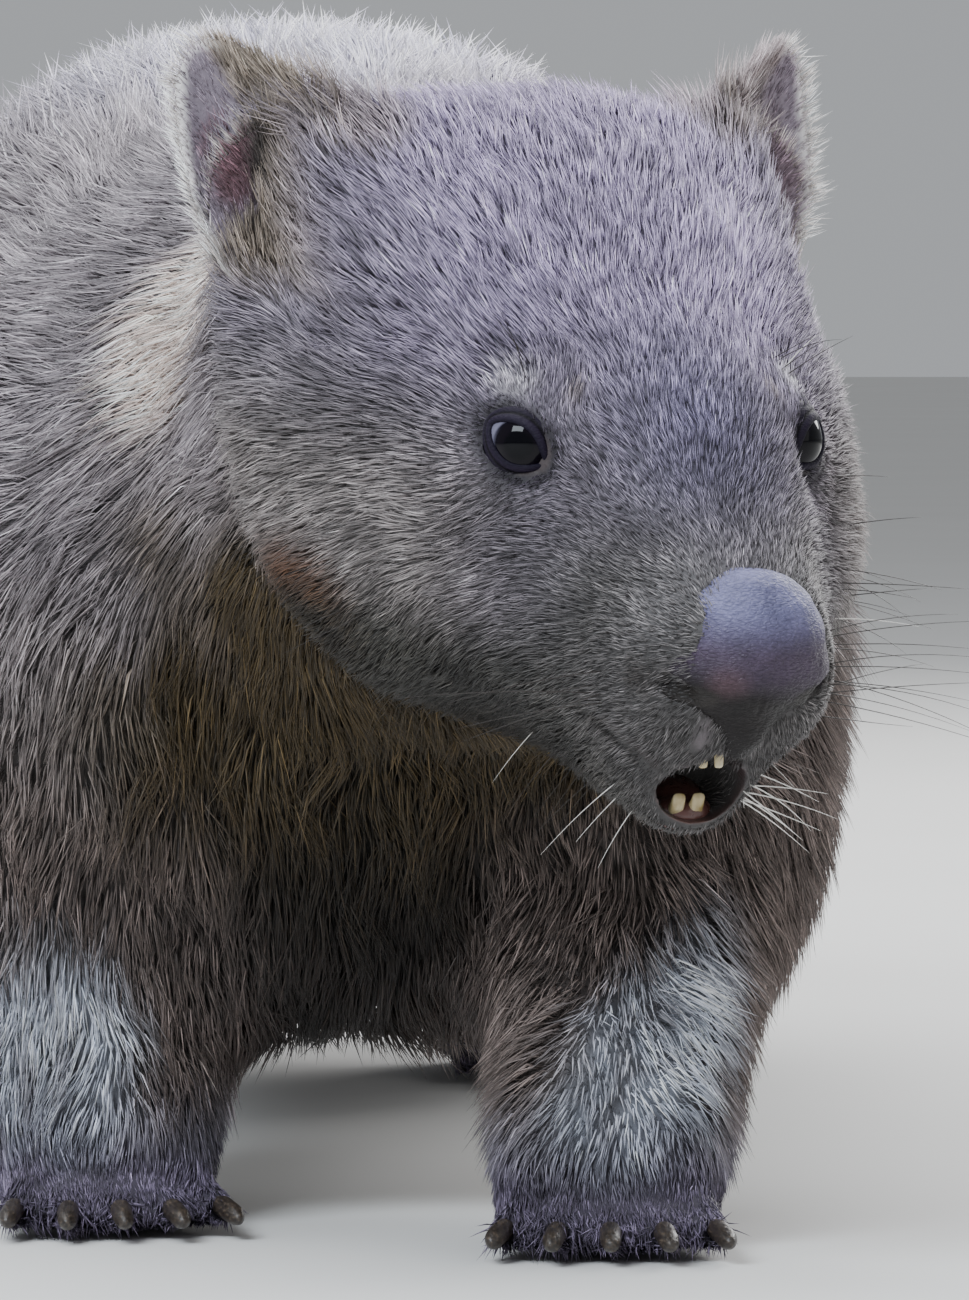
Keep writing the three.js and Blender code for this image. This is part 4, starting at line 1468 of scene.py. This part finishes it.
def make_lights():
    target = Vector((0, -0.2, 0.18))
    for light in LIGHTS:
        data = bpy.data.lights.new(light["name"], "AREA")
        data.energy = light["power"]
        data.shape = "RECTANGLE"
        data.size = light["wide"]
        data.size_y = light["tall"]
        data.color = light["colour"]
        lamp = bpy.data.objects.new(light["name"], data)
        bpy.context.collection.objects.link(lamp)
        lamp.location = light["place"]
        lamp.rotation_euler = (target - lamp.location).to_track_quat("-Z", "Y").to_euler()
    world = bpy.data.worlds.new("studio")
    bpy.context.scene.world = world
    world.use_nodes = True
    world.node_tree.nodes["Background"].inputs["Color"].default_value = (0.80, 0.83, 0.87, 1)
    world.node_tree.nodes["Background"].inputs["Strength"].default_value = 0.5


def make_floor():
    bpy.ops.object.select_all(action="DESELECT")
    bpy.ops.mesh.primitive_plane_add(size=40)
    floor = bpy.context.object
    floor.name = floor.data.name = "floor"
    floor.data.materials.append(floor_material())


# Sizes that a user may change


class WombatSkinSettings(bpy.types.PropertyGroup):
    voxel: FloatProperty(name="Detail", description="Size of the skin's finest detail, in millimetres", default=1.6, min=0.8)


class WombatCoatSettings(bpy.types.PropertyGroup):
    share: FloatProperty(name="Thickness", description="Share of the full coat's hairs", default=1.0, min=0.05, max=1.0, subtype="FACTOR")
    roughness: FloatProperty(name="Roughness", description="Roughness of a hair", default=0.52, min=0.1, max=1.0, subtype="FACTOR")


# Operators


class WOMBAT_OT_skin(bpy.types.Operator):
    """Makes one skin over all the flesh, sunk under the coat"""

    bl_idname = "wombat.skin"
    bl_label = "Skin"

    def execute(self, context):
        skin = make_skin(context.scene.wombat_skin.voxel)
        prepare_roots(skin)
        only(skin)
        bpy.ops.object.shade_smooth()
        finish_piece(skin, skin_material(), "fur", *[node for node in FLESH if node != "nose"])
        return {"FINISHED"}


class WOMBAT_OT_coat(bpy.types.Operator):
    """Grows the coat as solid hairs in a few pieces"""

    bl_idname = "wombat.coat"
    bl_label = "Coat"

    def execute(self, context):
        settings = context.scene.wombat_coat
        material = hair_material("coat_hair", settings.roughness)
        slots = {"head": "face_fur", "ears": "face_fur", "paws": "paw_fur"}
        for piece, name in grow_coat(settings.share):
            finish_piece(piece, material, slots.get(name, "fur"))
        return {"FINISHED"}


class WOMBAT_OT_eyes(bpy.types.Operator):
    """Makes both eyeballs and their lids"""

    bl_idname = "wombat.eyes"
    bl_label = "Eyes and lids"

    def execute(self, context):
        glossy = eye_material()
        soft = lid_material()
        for side in SIDES:
            finish_piece(make_eye(side), glossy, "eye", f"eye_{side}")
            finish_piece(make_lids(side), soft, "nose_skin")
        return {"FINISHED"}


class WOMBAT_OT_nose(bpy.types.Operator):
    """Makes the leathery nose pad"""

    bl_idname = "wombat.nose"
    bl_label = "Nose pad"

    def execute(self, context):
        finish_piece(make_pad(), pad_material(), "nose_skin", "nose")
        return {"FINISHED"}


class WOMBAT_OT_teeth(bpy.types.Operator):
    """Shapes the four incisors"""

    bl_idname = "wombat.teeth"
    bl_label = "Teeth"

    def execute(self, context):
        nodes = [f"tooth_{level}_{side}" for level in ("upper", "lower") for side in SIDES]
        finish_piece(make_incisors(), tooth_material(), "tooth", *nodes)
        return {"FINISHED"}


class WOMBAT_OT_mouth(bpy.types.Operator):
    """Makes the lower gum and the tongue"""

    bl_idname = "wombat.mouth"
    bl_label = "Gum and tongue"

    def execute(self, context):
        finish_piece(make_gums(), gum_material(), "nose_skin")
        return {"FINISHED"}


class WOMBAT_OT_claws(bpy.types.Operator):
    """Rounds the claws of each paw"""

    bl_idname = "wombat.claws"
    bl_label = "Claws"

    def execute(self, context):
        horn = horn_material()
        for pair in ("fore", "hind"):
            for side in SIDES:
                start = f"{pair}claw_{side}_"
                nodes = sorted(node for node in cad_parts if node.startswith(start))
                finish_piece(make_rounded(nodes, f"claws_{pair}_{side}", 2), horn, "horn", *nodes)
        return {"FINISHED"}


class WOMBAT_OT_whiskers(bpy.types.Operator):
    """Sets the whiskers on the muzzle, brows, cheeks and chin"""

    bl_idname = "wombat.whiskers"
    bl_label = "Whiskers"

    def execute(self, context):
        finish_piece(make_whiskers(), hair_material("whisker_hair", 0.4), "face_fur")
        return {"FINISHED"}


class WOMBAT_OT_stage(bpy.types.Operator):
    """Sets the camera, the lights and the floor"""

    bl_idname = "wombat.stage"
    bl_label = "Stage"

    def execute(self, context):
        make_camera()
        make_lights()
        make_floor()
        return {"FINISHED"}


OPERATORS = (
    WOMBAT_OT_stage,
    WOMBAT_OT_skin,
    WOMBAT_OT_eyes,
    WOMBAT_OT_nose,
    WOMBAT_OT_teeth,
    WOMBAT_OT_mouth,
    WOMBAT_OT_claws,
    WOMBAT_OT_coat,
    WOMBAT_OT_whiskers,
)


class WOMBAT_PT_panel(bpy.types.Panel):
    """Lists the wombat's pieces and their settings"""

    bl_label = "Wombat"
    bl_idname = "WOMBAT_PT_panel"
    bl_space_type = "VIEW_3D"
    bl_region_type = "UI"
    bl_category = "Wombat"

    def draw(self, context):
        layout = self.layout
        layout.prop(context.scene.wombat_skin, "voxel")
        layout.prop(context.scene.wombat_coat, "share")
        layout.prop(context.scene.wombat_coat, "roughness")
        for operator in OPERATORS:
            layout.operator(operator.bl_idname)


CLASSES = (WombatSkinSettings, WombatCoatSettings, *OPERATORS, WOMBAT_PT_panel)


def register():
    for entry in CLASSES:
        bpy.utils.register_class(entry)
    bpy.types.Scene.wombat_skin = PointerProperty(type=WombatSkinSettings)
    bpy.types.Scene.wombat_coat = PointerProperty(type=WombatCoatSettings)


def unregister():
    del bpy.types.Scene.wombat_coat
    del bpy.types.Scene.wombat_skin
    for entry in reversed(CLASSES):
        bpy.utils.unregister_class(entry)


def main():
    register()
    bpy.ops.wombat.stage()
    bpy.ops.wombat.skin()
    bpy.ops.wombat.eyes()
    bpy.ops.wombat.nose()
    bpy.ops.wombat.teeth()
    bpy.ops.wombat.mouth()
    bpy.ops.wombat.claws()
    bpy.ops.wombat.coat()
    bpy.ops.wombat.whiskers()


if __name__ == "__main__":
    main()
